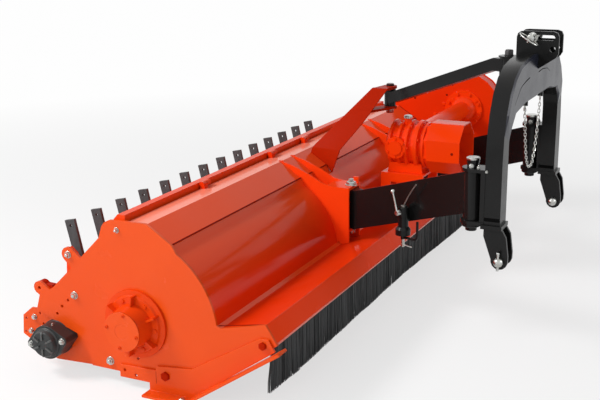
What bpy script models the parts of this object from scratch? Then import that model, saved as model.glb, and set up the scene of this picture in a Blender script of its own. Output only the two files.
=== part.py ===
# Pruning mulcher carried behind a tractor on a side-shifting three-point headstock.
# World frame: metres, +Z up, X across the machine, -Y towards the tractor, ground at Z = 0.
# Shapes are drawn in machine coordinates (x, f, z): x from the near side plate,
# f forward of the rear datum, z above the ground.
import math
import random

import bmesh
import bpy
from mathutils import Matrix, Vector

for old in list(bpy.data.objects):
    bpy.data.objects.remove(old, do_unlink=True)

# Driving dimensions of the whole machine.
WIDTH = 2.400
CENTRE_X = 1.20625
CENTRE_F = 0.6705
GAP = 0.0005
SIDE = 0.010
SHEET = 0.006

# Rotor and the arched roof round it.
ROTOR_F = 0.357
ROTOR_Z = 0.240
ROTOR_TUBE_R = 0.084
ROTOR_TIP_R = 0.190
ROOF_R = 0.311
HAMMER_COUNT = 24

# Drive line: the gearbox stands midway between the two swing arms.
DRIVE_X = 1.485
DRIVE_F = 0.765
DRIVE_Z = 0.600
UPPER_PITCH_R = 0.100
LOWER_PITCH_R = 0.077

# Swing arms: pivots on the casing and the step from them to the headstock pivots.
HITCH_SPACING = 0.870
ARM_F = 0.700
ARM_NEAR_X = DRIVE_X - HITCH_SPACING / 2
ARM_FAR_X = DRIVE_X + HITCH_SPACING / 2
ARM_SHIFT = -0.330
ARM_REACH = 0.598
HEAD_X = DRIVE_X + ARM_SHIFT
HEAD_F = ARM_F + ARM_REACH
STRUT_X = DRIVE_X
ARM_LOW_Z = 0.3345
ARM_HEAD_Z = 0.5250

# Rake tines.
TINE_COUNT = 14
TINE_PITCH = 0.150
TINE_FIRST = 0.075
TINE_TOP = (0.048, 0.548)
TINE_LEAN = math.radians(12.5)
TINE_LENGTH = 0.345
TINE_W = 0.042
TINE_T = 0.012

# Roller and its frame.
ROLLER_F = 0.012
ROLLER_Z = 0.130
ROLLER_R = 0.085
FRAME_PIVOT = (0.240, 0.081)

# Hood hinge line.
HINGE_F = 0.338
HINGE_Z = 0.606
HINGE_AT = (0.510, 1.060, 1.380, 1.890)


def world(x, f, z):
    """Machine coordinates to world coordinates."""
    return Vector((x - CENTRE_X, CENTRE_F - f, z))


def material(name, colour, roughness, metallic):
    mat = bpy.data.materials.new(name)
    mat.use_nodes = True
    shader = mat.node_tree.nodes["Principled BSDF"]
    shader.inputs["Base Color"].default_value = (*colour, 1.0)
    shader.inputs["Roughness"].default_value = roughness
    shader.inputs["Metallic"].default_value = metallic
    mat.diffuse_color = (*colour, 1.0)
    return mat


PALETTE = {
    "orange_paint": ((0.80, 0.085, 0.012), 0.32, 0.0),
    "black_paint": ((0.012, 0.012, 0.013), 0.28, 0.0),
    "tine_steel": ((0.060, 0.057, 0.060), 0.45, 0.6),
    "zinc_plate": ((0.62, 0.62, 0.60), 0.30, 1.0),
    "bristle_black": ((0.018, 0.018, 0.019), 0.60, 0.0),
    "bare_steel": ((0.30, 0.29, 0.28), 0.40, 1.0),
    "belt_rubber": ((0.020, 0.020, 0.020), 0.70, 0.0),
    "bearing_black": ((0.020, 0.022, 0.022), 0.45, 0.0),
}


def mesh_object(name, bm, origin=(CENTRE_X, CENTRE_F, 0.0)):
    """Closed mesh object whose origin is the machine point given."""
    bmesh.ops.remove_doubles(bm, verts=bm.verts, dist=0.00001)
    bmesh.ops.recalc_face_normals(bm, faces=bm.faces)
    offset = world(*origin)
    bmesh.ops.translate(bm, verts=bm.verts, vec=-offset)
    mesh = bpy.data.meshes.new(name)
    bm.to_mesh(mesh)
    bm.free()
    obj = bpy.data.objects.new(name, mesh)
    obj.location = offset
    bpy.context.scene.collection.objects.link(obj)
    return obj


def loft(rings, closed=False):
    """Bmesh skinned over rings of machine points; the ends are capped unless closed."""
    bm = bmesh.new()
    rows = [[bm.verts.new(world(*p)) for p in ring] for ring in rings]
    pairs = list(zip(rows, rows[1:]))
    if closed:
        pairs.append((rows[-1], rows[0]))
    for low, high in pairs:
        for i in range(len(low)):
            j = (i + 1) % len(low)
            bm.faces.new((low[i], low[j], high[j], high[i]))
    if not closed:
        bm.faces.new(rows[0])
        bm.faces.new(rows[-1])
    return bm


def prism_x(name, outline, x0, x1, origin=(CENTRE_X, CENTRE_F, 0.0)):
    """Solid with an (f, z) outline between two x positions."""
    rings = [[(x, f, z) for f, z in outline] for x in (x0, x1)]
    return mesh_object(name, loft(rings), origin)


def prism_f(name, outline, f0, f1, origin=(CENTRE_X, CENTRE_F, 0.0)):
    """Solid with an (x, z) outline between two f positions."""
    rings = [[(x, f, z) for x, z in outline] for f in (f0, f1)]
    return mesh_object(name, loft(rings), origin)


def prism_z(name, outline, z0, z1, origin=(CENTRE_X, CENTRE_F, 0.0)):
    """Solid with an (x, f) outline between two heights."""
    rings = [[(x, f, z) for x, f in outline] for z in (z0, z1)]
    return mesh_object(name, loft(rings), origin)


def box(name, x0, x1, f0, f1, z0, z1):
    return prism_x(name, [(f0, z0), (f1, z0), (f1, z1), (f0, z1)], x0, x1)


def arc(cx, cy, radius, start, end, steps):
    """Points on a circle, angles in degrees."""
    turn = [math.radians(start + (end - start) * i / steps) for i in range(steps + 1)]
    return [(cx + radius * math.cos(t), cy + radius * math.sin(t)) for t in turn]


def circle(cx, cy, radius, sides, phase=0.0):
    return arc(cx, cy, radius, phase, phase + 360.0 - 360.0 / sides, sides - 1)


def lathe(name, axis, centre, profile, sides, origin=(CENTRE_X, CENTRE_F, 0.0), phase=0.0):
    """Solid of revolution from (distance along axis, radius) points round an x, f or z line."""
    rings = []
    for along, radius in profile:
        ring = []
        for u, v in circle(0.0, 0.0, max(radius, 0.0), sides, phase):
            if axis == "x":
                ring.append((along, centre[0] + u, centre[1] + v))
            elif axis == "f":
                ring.append((centre[0] + u, along, centre[1] + v))
            else:
                ring.append((centre[0] + u, centre[1] + v, along))
        rings.append(ring)
    return mesh_object(name, loft(rings), origin)


def sleeve(name, axis, centre, profile, sides, origin=(CENTRE_X, CENTRE_F, 0.0)):
    """Hollow solid of revolution whose profile is a closed loop."""
    rings = []
    for along, radius in profile:
        ring = []
        for u, v in circle(0.0, 0.0, radius, sides):
            if axis == "x":
                ring.append((along, centre[0] + u, centre[1] + v))
            elif axis == "f":
                ring.append((centre[0] + u, along, centre[1] + v))
            else:
                ring.append((centre[0] + u, centre[1] + v, along))
        rings.append(ring)
    return mesh_object(name, loft(rings, closed=True), origin)


def rod(name, axis, centre, radius, a, b, sides=16):
    return lathe(name, axis, centre, [(a, radius), (b, radius)], sides)


def bake(obj):
    """Replace an object's mesh by its evaluated mesh and clear its modifiers."""
    graph = bpy.context.evaluated_depsgraph_get()
    mesh = bpy.data.meshes.new_from_object(obj.evaluated_get(graph))
    obj.modifiers.clear()
    obj.data = mesh


def combine(obj, others, operation):
    for other in others:
        step = obj.modifiers.new("step", "BOOLEAN")
        step.operation = operation
        step.solver = "EXACT"
        step.object = other
        bake(obj)
        bpy.data.objects.remove(other, do_unlink=True)
    return obj


def join(obj, *others):
    return combine(obj, others, "UNION")


def cut(obj, *others):
    return combine(obj, others, "DIFFERENCE")


def bevel(obj, width, segments=1, angle=40.0):
    step = obj.modifiers.new("edges", "BEVEL")
    step.width = width
    step.segments = segments
    step.limit_method = "ANGLE"
    step.angle_limit = math.radians(angle)
    bake(obj)
    return obj


def place_origin(obj, x, f, z):
    """Move an object's origin to a machine point and leave its shape in place."""
    target = world(x, f, z)
    obj.data.transform(Matrix.Translation(obj.location - target))
    obj.location = target
    return obj


def tidy(obj):
    """Merge flat neighbouring faces that the boolean steps left split."""
    bm = bmesh.new()
    bm.from_mesh(obj.data)
    limit = math.radians(0.05)
    bmesh.ops.dissolve_limit(bm, angle_limit=limit, verts=bm.verts, edges=bm.edges)
    bm.to_mesh(obj.data)
    bm.free()


def finish(obj, name, slot, smooth=False):
    """Name a finished node, give it its material and shade it."""
    tidy(obj)
    obj.name = name
    obj.data.name = name
    obj.data.materials.clear()
    mat = bpy.data.materials.get(slot) or material(slot, *PALETTE[slot])
    obj.data.materials.append(mat)
    if smooth:
        obj.data.shade_smooth()
        obj.data.set_sharp_from_angle(angle=math.radians(35.0))
    return obj


def polar(f, z, radius, angle):
    t = math.radians(angle)
    return (f + radius * math.cos(t), z + radius * math.sin(t))


def deck_z(f):
    """Height of the flat deck ahead of the arched roof."""
    return 0.270 + 0.244 * (f - 0.678)


# Roof outline from the hinge edge forward: flat top, slope, arch, deck and front lip.
FOLD = (0.412, 0.592)
SEAM = (0.505, 0.532)
CREASE = (0.846, 0.311)
LIP = (0.886, 0.249)
ARCH_TOP = 58.4
ARCH_FOOT = 7.0
arch = arc(ROTOR_F, ROTOR_Z, ROOF_R, ARCH_TOP, ARCH_FOOT, 12)
roof_line = [(0.335, 0.590), FOLD, SEAM] + arch + [(0.681, deck_z(0.681)), CREASE, LIP]
arch_inner = arc(ROTOR_F, ROTOR_Z, ROOF_R - SHEET, ARCH_TOP, ARCH_FOOT, 12)
under_line = [(0.335, 0.584), (0.410, 0.586), (0.500, 0.5275)] + arch_inner
under_line += [(0.678, 0.2625), (0.843, 0.3035), (0.8805, 0.2455)]
roof = prism_x("roof", roof_line + under_line[::-1], SIDE + GAP, WIDTH - SIDE - GAP)
for hinge_x in HINGE_AT:
    foot = [(0.3310, 0.587), (0.3520, 0.587), (0.3480, 0.606), (0.3310, 0.606)]
    block = prism_x("knuckle_foot", foot, hinge_x - 0.026, hinge_x - 0.001)
    barrel = rod("knuckle", "x", (HINGE_F, HINGE_Z), 0.0110, hinge_x - 0.026, hinge_x - 0.001, 12)
    pin = rod("pin", "x", (HINGE_F, HINGE_Z), 0.0055, hinge_x - 0.012, hinge_x + 0.030, 10)
    join(roof, block, barrel, pin)
finish(roof, "roof_casing", "orange_paint")

# Side plates: outline, ears for the hood, hump bolt, roller height holes and hub seats.
rear_edge = [(0.161, 0.050), (0.156, 0.126), (0.109, 0.158), (-0.018, 0.202), (-0.066, 0.228)]
rear_edge += [(-0.050, 0.279), (0.010, 0.315), (0.103, 0.405), (0.157, 0.460), (0.221, 0.524)]
rear_edge += [(0.235, 0.565), (0.248, 0.582), (0.268, 0.592), (0.297, 0.5955)]
front_edge = [(0.414, 0.5950), (0.508, 0.5345)]
front_edge += arc(ROTOR_F, ROTOR_Z, ROOF_R + 0.003, 57.5, 7.5, 12)
front_edge += [(0.684, 0.2745), (0.8475, 0.3140), (0.8890, 0.2500), (0.868, 0.236)]
front_edge += [(0.566, 0.062), (0.420, 0.046), (0.280, 0.049)]
HEIGHT_HOLES = [polar(*FRAME_PIVOT, 0.2585, a) for a in (121.7, 130.2, 138.7, 147.2)]


def side_plate(name, x0, x1, outer):
    """One side plate; outer is the x position of the fastener heads' free end."""
    plate = prism_x(name, rear_edge + front_edge, x0, x1)
    upper_ear = circle(0.088, 0.447, 0.027, 14)
    upper_neck = [(0.070, 0.427), (0.106, 0.467), (0.140, 0.440), (0.100, 0.400)]
    lower_ear = circle(-0.049, 0.306, 0.024, 14)
    lower_neck = [(-0.071, 0.296), (-0.040, 0.328), (0.000, 0.302), (-0.040, 0.270)]
    ears = [upper_ear, upper_neck, lower_ear, lower_neck]
    join(plate, *[prism_x("ear", ear, x0, x1) for ear in ears])
    reach0, reach1 = min(x0, outer) - 0.02, max(x1, outer) + 0.02
    holes = [(*p, 0.0055) for p in HEIGHT_HOLES[1:]]
    holes += [(-0.049, 0.306, 0.0065), (0.356, 0.110, 0.005), (ROTOR_F, ROTOR_Z, 0.034)]
    cut(plate, *[rod("hole", "x", (f, z), r, reach0, reach1, 10) for f, z, r in holes])
    face = x0 if outer < x0 else x1
    inward = 0.004 if outer < x0 else -0.004
    bolts = [(0.088, 0.447, 0.011), (0.297, 0.560, 0.008), (*HEIGHT_HOLES[0], 0.012)]
    bolts += [(*FRAME_PIVOT, 0.013)]
    for f, z, radius in bolts:
        washer_end = face + (outer - face) * 0.25
        profile = [(face + inward, radius), (washer_end, radius)]
        profile += [(washer_end, radius * 0.8), (outer, radius * 0.8)]
        join(plate, lathe("bolt", "x", (f, z), profile, 6))
    return plate


near_plate = side_plate("near_plate", 0.0, SIDE, -0.010)
finish(near_plate, "near_side_plate", "orange_paint")

# Belt case: rim wall round both pulleys, on a seat plate that is one with the far side plate.
CASE_LOW_R = 0.155
CASE_HIGH_R = 0.180


def belt_outline(extra, steps=11):
    """Rounded outline that holds both pulleys, counter-clockwise in (f, z)."""
    rise = math.degrees(math.atan2(DRIVE_Z - ROTOR_Z, DRIVE_F - ROTOR_F))
    span = math.hypot(DRIVE_Z - ROTOR_Z, DRIVE_F - ROTOR_F)
    tilt = math.degrees(math.asin((CASE_HIGH_R - CASE_LOW_R) / span))
    low = arc(ROTOR_F, ROTOR_Z, CASE_LOW_R + extra, rise + 90 + tilt, rise + 270 - tilt, steps)
    high = arc(DRIVE_F, DRIVE_Z, CASE_HIGH_R + extra, rise - 90 - tilt, rise + 90 + tilt, steps)
    return low + high


far_plate = side_plate("far_plate", WIDTH - SIDE, WIDTH, WIDTH + 0.010)
seat = prism_x("seat", belt_outline(0.006), WIDTH - SIDE, WIDTH)
join(far_plate, seat)
cut(far_plate, rod("hole", "x", (DRIVE_F, DRIVE_Z), 0.026, WIDTH - 0.03, WIDTH + 0.03, 16))
cut(far_plate, rod("hole", "x", (ROTOR_F, ROTOR_Z), 0.034, WIDTH - 0.03, WIDTH + 0.03, 16))
finish(far_plate, "far_side_plate", "orange_paint")

CASE_X0 = WIDTH + GAP
CASE_X1 = WIDTH + 0.086
case = prism_x("case", belt_outline(0.0), CASE_X0, CASE_X1)
cut(case, prism_x("case_room", belt_outline(-0.004), CASE_X0 - 0.01, CASE_X1 + 0.01))
finish(case, "belt_case", "orange_paint")
cover = prism_x("cover", belt_outline(0.004), CASE_X1 + GAP, CASE_X1 + GAP + 0.006)
bevel(cover, 0.002)
for f, z in belt_outline(-0.014, 2):
    join(cover, rod("bolt", "x", (f, z), 0.008, CASE_X1 + 0.004, CASE_X1 + 0.0125, 6))
finish(cover, "belt_cover", "orange_paint")

# Skids: web with adjusting holes, sole that turns up ahead into a ramp.
web = [(0.284, 0.034), (0.284, 0.080), (0.430, 0.084), (0.436, 0.100), (0.572, 0.114)]
web += [(0.830, 0.268), (0.862, 0.268), (0.884, 0.230), (0.566, 0.006), (0.403, 0.006)]
web += [(0.403, 0.034)]
sole = [(0.401, 0.000), (0.568, 0.000), (0.924, 0.242), (0.919, 0.2495), (0.5655, 0.008)]
sole += [(0.401, 0.008)]
for name, face, out in (("near_skid", -GAP, -1.0), ("far_skid", WIDTH + GAP, 1.0)):
    skid = prism_x("skid", web, min(face, face + out * 0.008), max(face, face + out * 0.008))
    shoe = prism_x("shoe", sole, min(face, face + out * 0.056), max(face, face + out * 0.056))
    join(skid, shoe)
    for f, z in ((0.304, 0.062), (0.349, 0.050)):
        cut(skid, rod("hole", "x", (f, z), 0.006, face - 0.03, face + 0.03, 10))
    for f, z in ((0.467, 0.069), (0.842, 0.246)):
        ends = sorted((face + out * 0.005, face + out * 0.016))
        join(skid, rod("bolt", "x", (f, z), 0.011, ends[0], ends[1], 6))
    join(skid, rod("bolt", "z", (face + out * 0.036, 0.548), 0.009, 0.005, 0.016, 6))
    finish(skid, name, "orange_paint")

# Rotor hubs: cast flange, stiffening webs and a capped bearing barrel.
near_hub_loop = [(-GAP, 0.121), (-0.011, 0.121), (-0.013, 0.104), (-0.020, 0.100)]
near_hub_loop += [(-0.022, 0.078), (-0.080, 0.069), (-0.086, 0.064), (-0.086, 0.0001)]
hub = lathe("hub", "x", (ROTOR_F, ROTOR_Z), near_hub_loop, 26)
cut(hub, rod("bore", "x", (ROTOR_F, ROTOR_Z), 0.0305, -0.066, 0.02, 20))
for k in range(6):
    middle = 25.0 + 60.0 * k
    low, high = middle - 3.2, middle + 3.2
    fin = [polar(ROTOR_F, ROTOR_Z, 0.066, low), polar(ROTOR_F, ROTOR_Z, 0.108, middle - 1.9)]
    fin += [polar(ROTOR_F, ROTOR_Z, 0.108, middle + 1.9), polar(ROTOR_F, ROTOR_Z, 0.066, high)]
    join(hub, prism_x("fin", fin, -0.044, -0.010))
for k in range(4):
    f, z = polar(ROTOR_F, ROTOR_Z, 0.052, 50.0 + 90.0 * k)
    cut(hub, rod("screw", "x", (f, z), 0.004, -0.10, -0.083, 6))
finish(hub, "near_rotor_hub", "orange_paint", smooth=True)
far_hub_loop = [(WIDTH + GAP, 0.080), (WIDTH + 0.009, 0.080), (WIDTH + 0.0095, 0.058)]
far_hub_loop += [(WIDTH + 0.0175, 0.056), (WIDTH + 0.0175, 0.0265), (WIDTH + GAP, 0.0265)]
far_hub = sleeve("far_hub", "x", (ROTOR_F, ROTOR_Z), far_hub_loop, 18)
finish(far_hub, "far_rotor_hub", "bearing_black", smooth=True)

# Rotor: tube on stub shafts with hammers set along two helices.
rotor_profile = [(-0.062, 0.025), (0.018, 0.025), (0.018, 0.040), (0.026, 0.040)]
rotor_profile += [(0.026, ROTOR_TUBE_R), (WIDTH - 0.026, ROTOR_TUBE_R), (WIDTH - 0.026, 0.040)]
rotor_profile += [(WIDTH - 0.018, 0.040), (WIDTH - 0.018, 0.025), (WIDTH + 0.074, 0.025)]
rotor = lathe("rotor", "x", (ROTOR_F, ROTOR_Z), rotor_profile, 24)
for k in range(HAMMER_COUNT):
    turn = 137.5 * k
    hx = 0.085 + (WIDTH - 0.170) * k / (HAMMER_COUNT - 1)
    c, s = math.cos(math.radians(turn)), math.sin(math.radians(turn))
    outline = [(0.078, -0.022), (0.122, -0.014), (0.152, -0.022), (ROTOR_TIP_R - 0.012, -0.026)]
    outline += [(ROTOR_TIP_R - 0.006, 0.020), (0.140, 0.016), (0.078, 0.022)]
    ring = [(ROTOR_F + u * c - v * s, ROTOR_Z + u * s + v * c) for u, v in outline]
    join(rotor, prism_x("hammer", ring, hx - 0.028, hx + 0.028))
cut(rotor, rod("room", "x", (ROTOR_F, ROTOR_Z), ROTOR_TUBE_R - 0.010, 0.050, WIDTH - 0.050, 24))
cut(rotor, rod("vent", "x", (ROTOR_F, ROTOR_Z + 0.058), 0.005, 0.000, 0.070, 6))
place_origin(rotor, WIDTH / 2, ROTOR_F, ROTOR_Z)
finish(rotor, "rotor", "bare_steel", smooth=True)

# Counter blade welded under the arch.
blade = [polar(ROTOR_F, ROTOR_Z, 0.206, 24.0), polar(ROTOR_F, ROTOR_Z, 0.3035, 23.0)]
blade += [polar(ROTOR_F, ROTOR_Z, 0.3035, 26.5), polar(ROTOR_F, ROTOR_Z, 0.206, 27.5)]
counter = prism_x("counter", blade, SIDE + 0.002, WIDTH - SIDE - 0.002)
finish(counter, "counter_blade", "bare_steel")

# Pulleys and the banded belt that joins them.
PULLEY_X0 = WIDTH + 0.022
PULLEY_X1 = WIDTH + 0.072
BELT_HALF = 0.005


def pulley(name, centre, pitch, bore):
    """Pulley with two guide flanges and a bore for its shaft."""
    core = pitch - BELT_HALF - GAP
    loop = [(PULLEY_X0, bore), (PULLEY_X0, pitch + 0.009), (PULLEY_X0 + 0.004, pitch + 0.009)]
    loop += [(PULLEY_X0 + 0.004, core), (PULLEY_X1 - 0.004, core)]
    loop += [(PULLEY_X1 - 0.004, pitch + 0.009), (PULLEY_X1, pitch + 0.009), (PULLEY_X1, bore)]
    wheel = sleeve(name, "x", centre, loop, 24)
    place_origin(wheel, (PULLEY_X0 + PULLEY_X1) / 2, *centre)
    return finish(wheel, name, "bare_steel", smooth=True)


pulley("drive_pulley", (DRIVE_F, DRIVE_Z), UPPER_PITCH_R, 0.0185)
pulley("rotor_pulley", (ROTOR_F, ROTOR_Z), LOWER_PITCH_R, 0.0255)


def belt_loop(offset):
    """Belt line at an offset from the pitch line."""
    rise = math.degrees(math.atan2(DRIVE_Z - ROTOR_Z, DRIVE_F - ROTOR_F))
    span = math.hypot(DRIVE_Z - ROTOR_Z, DRIVE_F - ROTOR_F)
    tilt = math.degrees(math.asin((UPPER_PITCH_R - LOWER_PITCH_R) / span))
    low = arc(ROTOR_F, ROTOR_Z, LOWER_PITCH_R + offset, rise + 90 + tilt, rise + 270 - tilt, 12)
    high = arc(DRIVE_F, DRIVE_Z, UPPER_PITCH_R + offset, rise - 90 - tilt, rise + 90 + tilt, 14)
    return low + high


# The belt's inner face clears the pulley facets by a small margin.
belt = prism_x("belt", belt_loop(BELT_HALF), PULLEY_X0 + 0.0045, PULLEY_X1 - 0.0045)
cut(belt, prism_x("belt_room", belt_loop(0.0 - BELT_HALF + 0.001), PULLEY_X0, PULLEY_X1))
finish(belt, "belt_band", "belt_rubber", smooth=True)

# Gearbox: ribbed barrel round the input line, cross bosses, foot and filler cap.
barrel_profile = [(0.708, 0.046), (0.710, 0.070), (0.722, 0.090), (0.728, 0.104), (0.738, 0.104)]
barrel_profile += [(0.742, 0.091), (0.764, 0.091), (0.768, 0.106), (0.778, 0.106), (0.782, 0.093)]
barrel_profile += [(0.800, 0.093), (0.804, 0.107), (0.814, 0.107), (0.818, 0.090), (0.838, 0.090)]
barrel_profile += [(0.842, 0.107), (0.858, 0.107), (0.862, 0.086), (0.872, 0.086), (0.875, 0.100)]
barrel_profile += [(0.886, 0.100)]
gearbox = lathe("gearbox", "f", (DRIVE_X, DRIVE_Z), barrel_profile, 20, phase=9.0)
for x0, x1, radius in ((1.378, 1.592, 0.047), (1.372, 1.600, 0.031)):
    join(gearbox, rod("boss", "x", (DRIVE_F, DRIVE_Z), radius, x0, min(x1, 1.5925), 20))
foot = [(0.722, 0.4885), (0.880, 0.4885), (0.872, 0.530), (0.730, 0.530)]
join(gearbox, prism_x("foot", foot, DRIVE_X - 0.075, DRIVE_X + 0.075))
cap_profile = [(0.690, 0.016), (0.716, 0.016), (0.718, 0.013), (0.728, 0.012)]
join(gearbox, lathe("cap", "z", (DRIVE_X - 0.020, 0.792), cap_profile, 6))
cut(gearbox, rod("bore", "f", (DRIVE_X, DRIVE_Z), 0.022, 0.830, 0.90, 16))
cut(gearbox, rod("bore", "x", (DRIVE_F, DRIVE_Z), 0.022, 1.560, 1.62, 16))
finish(gearbox, "gearbox", "orange_paint", smooth=True)

# Gearbox mount: folded stand between the deck and the gearbox foot.
MOUNT_HALF = 0.100
stand = [(0.700, deck_z(0.700) + GAP), (CREASE[0], CREASE[1] + GAP), (0.892, 0.430)]
stand += [(0.892, 0.488), (0.700, 0.488)]
mount = prism_x("mount", stand, DRIVE_X - MOUNT_HALF, DRIVE_X + MOUNT_HALF)
room = [(0.690, 0.250), (0.900, 0.250), (0.900, 0.478), (0.690, 0.478)]
cut(mount, prism_x("room", room, DRIVE_X - MOUNT_HALF + 0.008, DRIVE_X + MOUNT_HALF - 0.008))
window = [(0.745, 0.330), (0.835, 0.350), (0.850, 0.448), (0.745, 0.448)]
cut(mount, prism_x("window", window, DRIVE_X - 0.15, DRIVE_X + 0.15))
finish(mount, "gearbox_mount", "orange_paint")

# Input shaft with six splines, inside an eight-sided guard open to the front.
spline = []
for k in range(6):
    for turn, radius in ((-18.0, 0.0150), (-15.0, 0.0175), (15.0, 0.0175), (18.0, 0.0150)):
        spline.append(polar(0.0, 0.0, radius, 60.0 * k + turn))
ring = [(DRIVE_X + u, DRIVE_Z + v) for u, v in spline]
pto = prism_f("pto", ring, 0.8870, 0.985)
join(pto, lathe("collar", "f", (DRIVE_X, DRIVE_Z), [(0.834, 0.0205), (0.9000, 0.0205)], 16))
place_origin(pto, DRIVE_X, DRIVE_F, DRIVE_Z)
finish(pto, "pto_shaft", "bare_steel")
GUARD_R = 0.1165
guard = lathe("guard", "f", (DRIVE_X, DRIVE_Z), [(0.8865, GUARD_R), (1.094, GUARD_R)], 8, phase=22.5)
room = [(0.8925, GUARD_R - 0.005), (1.20, GUARD_R - 0.005)]
cut(guard, lathe("room", "f", (DRIVE_X, DRIVE_Z), room, 8, phase=22.5))
cut(guard, rod("bore", "f", (DRIVE_X, DRIVE_Z), 0.040, 0.86, 0.91, 20))
cut(guard, rod("hole", "x", (1.018, 0.594), 0.006, 1.30, 1.45, 10))
finish(guard, "pto_guard", "orange_paint")

# Cross shaft in its tube, from the gearbox to the belt case.
TUBE_X0 = 1.5930
TUBE_X1 = WIDTH - SIDE - GAP
tube_loop = [(TUBE_X0, 0.036), (TUBE_X0, 0.062), (TUBE_X0 + 0.012, 0.062), (TUBE_X0 + 0.012, 0.043)]
tube_loop += [(TUBE_X1 - 0.040, 0.043), (TUBE_X1 - 0.030, 0.058), (TUBE_X1 - 0.012, 0.066)]
tube_loop += [(TUBE_X1 - 0.012, 0.098), (TUBE_X1, 0.098), (TUBE_X1, 0.036)]
tube = sleeve("tube", "x", (DRIVE_F, DRIVE_Z), tube_loop, 18)
for k in range(8):
    f, z = polar(DRIVE_F, DRIVE_Z, 0.083, 22.5 + 45.0 * k)
    join(tube, rod("bolt", "x", (f, z), 0.009, TUBE_X1 - 0.022, TUBE_X1 - 0.008, 6))
finish(tube, "shaft_tube", "orange_paint", smooth=True)
cross = lathe("cross", "x", (DRIVE_F, DRIVE_Z), [(1.565, 0.018), (WIDTH + 0.074, 0.018)], 16)
place_origin(cross, 2.0, DRIVE_F, DRIVE_Z)
finish(cross, "cross_shaft", "bare_steel", smooth=True)


# Arm brackets: two curved ribs on the roof, joined by a fork that holds the arm pivot pin.
def arm_bracket(name, px):
    foot_line = [(0.700, deck_z(0.700) + GAP), (0.682, deck_z(0.682) + GAP)]
    foot_line += arc(ROTOR_F, ROTOR_Z, ROOF_R + GAP, ARCH_FOOT + 1.0, ARCH_TOP, 12)
    foot_line += [(SEAM[0] + 0.001, SEAM[1] + GAP), (FOLD[0] + 0.0006, FOLD[1] + 0.0007)]
    rib = [(0.404, 0.5945), (0.470, 0.577), (0.539, 0.548), (0.600, 0.516), (0.640, 0.508)]
    rib += [(0.715, 0.508), (0.715, deck_z(0.715) + GAP)]
    outline = [(0.400, 0.5927)] + foot_line[::-1] + rib[::-1]
    bracket = prism_x(name, outline, px - 0.060, px - 0.050)
    second = prism_x("rib", outline, px + 0.050, px + 0.060)
    top = box("top", px - 0.055, px + 0.055, 0.612, 0.715, 0.496, 0.508)
    low = box("low", px - 0.055, px + 0.055, 0.668, 0.715, 0.322, 0.334)
    back = [(0.600, 0.4400), (0.610, 0.4400), (0.622, 0.5000), (0.612, 0.5000)]
    join(bracket, second, top, low, prism_x("back", back, px - 0.055, px + 0.055))
    pin = lathe("pin", "z", (px, ARM_F), [(0.312, 0.0120), (0.500, 0.0120)], 12)
    nut_profile = [(0.505, 0.019), (0.520, 0.019), (0.520, 0.010), (0.532, 0.010)]
    nut = lathe("nut", "z", (px, ARM_F), nut_profile, 6)
    low_nut = lathe("nut", "z", (px, ARM_F), [(0.306, 0.018), (0.324, 0.018)], 6)
    tab = box("tab", px + 0.046, px + 0.058, 0.690, 0.712, 0.505, 0.530)
    join(bracket, pin, nut, low_nut, tab)
    return finish(bracket, name, "orange_paint")


arm_bracket("near_arm_bracket", ARM_NEAR_X)
arm_bracket("far_arm_bracket", ARM_FAR_X)

# Strut bracket: leaning plate from the roof slope to a fork for the upper strut.
STRUT_LOW_Z = 0.762
STRUT_TOP_Z = 0.838
LEAN = 0.62
LEAN_FROM = 0.600
STRUT_PLATE_X = 1.240
STRUT_PLATE_T = 0.010
plate_line = [(0.432, 0.5800), (0.440, 0.606), (0.652, 0.850), (0.722, 0.850), (0.640, 0.706)]
plate_line += [(0.566, 0.600), (0.530, 0.4995), (0.505, 0.5330)]


def lean_x(z):
    """x position of the leaning plate at a height."""
    return STRUT_PLATE_X + LEAN * max(0.0, z - LEAN_FROM)


plate_sides = (STRUT_PLATE_X, STRUT_PLATE_X + STRUT_PLATE_T)
bm = loft([[(x, f, z) for f, z in plate_line] for x in plate_sides])
whole = bm.verts[:] + bm.edges[:] + bm.faces[:]
bmesh.ops.bisect_plane(bm, geom=whole, plane_co=(0, 0, LEAN_FROM), plane_no=(0, 0, 1))
for vert in bm.verts:
    vert.co.x += LEAN * max(0.0, vert.co.z - LEAN_FROM)
strut_bracket = mesh_object("strut_bracket", bm)
LUG_T = 0.011
for z0 in (STRUT_TOP_Z + GAP, STRUT_LOW_Z - GAP - LUG_T):
    z1 = z0 + LUG_T
    left = lean_x((z0 + z1) / 2) + 0.002
    edge_f = 0.637 + 0.569 * (z0 - 0.706)
    ear = [(left, edge_f - 0.060), (left, edge_f), (STRUT_X, 0.730)]
    ear += arc(STRUT_X, ARM_F, 0.030, 80, -80, 6) + [(STRUT_X, 0.670)]
    join(strut_bracket, prism_z("ear", ear, z0, z1))
strut_pin = [(STRUT_LOW_Z - 0.030, 0.016), (STRUT_LOW_Z - 0.010, 0.016), (STRUT_LOW_Z - 0.010, 0.0095)]
strut_pin += [(STRUT_TOP_Z + 0.010, 0.0095), (STRUT_TOP_Z + 0.010, 0.016)]
strut_pin += [(STRUT_TOP_Z + 0.020, 0.016)]
join(strut_bracket, lathe("pin", "z", (STRUT_X, ARM_F), strut_pin, 12))
finish(strut_bracket, "strut_bracket", "orange_paint")


# Swing arms: sloping box arm between two pivot barrels.
def along(px, s, side):
    """Point on an arm's plan: s from the casing pivot, side to the left of the arm."""
    span = math.hypot(ARM_SHIFT, ARM_REACH)
    dx, df = ARM_SHIFT / span, ARM_REACH / span
    return (px + dx * s - df * side, ARM_F + df * s + dx * side)


ARM_SPAN = math.hypot(ARM_SHIFT, ARM_REACH)
ARM_HALF = 0.024
ARM_WALL = 0.006


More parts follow.
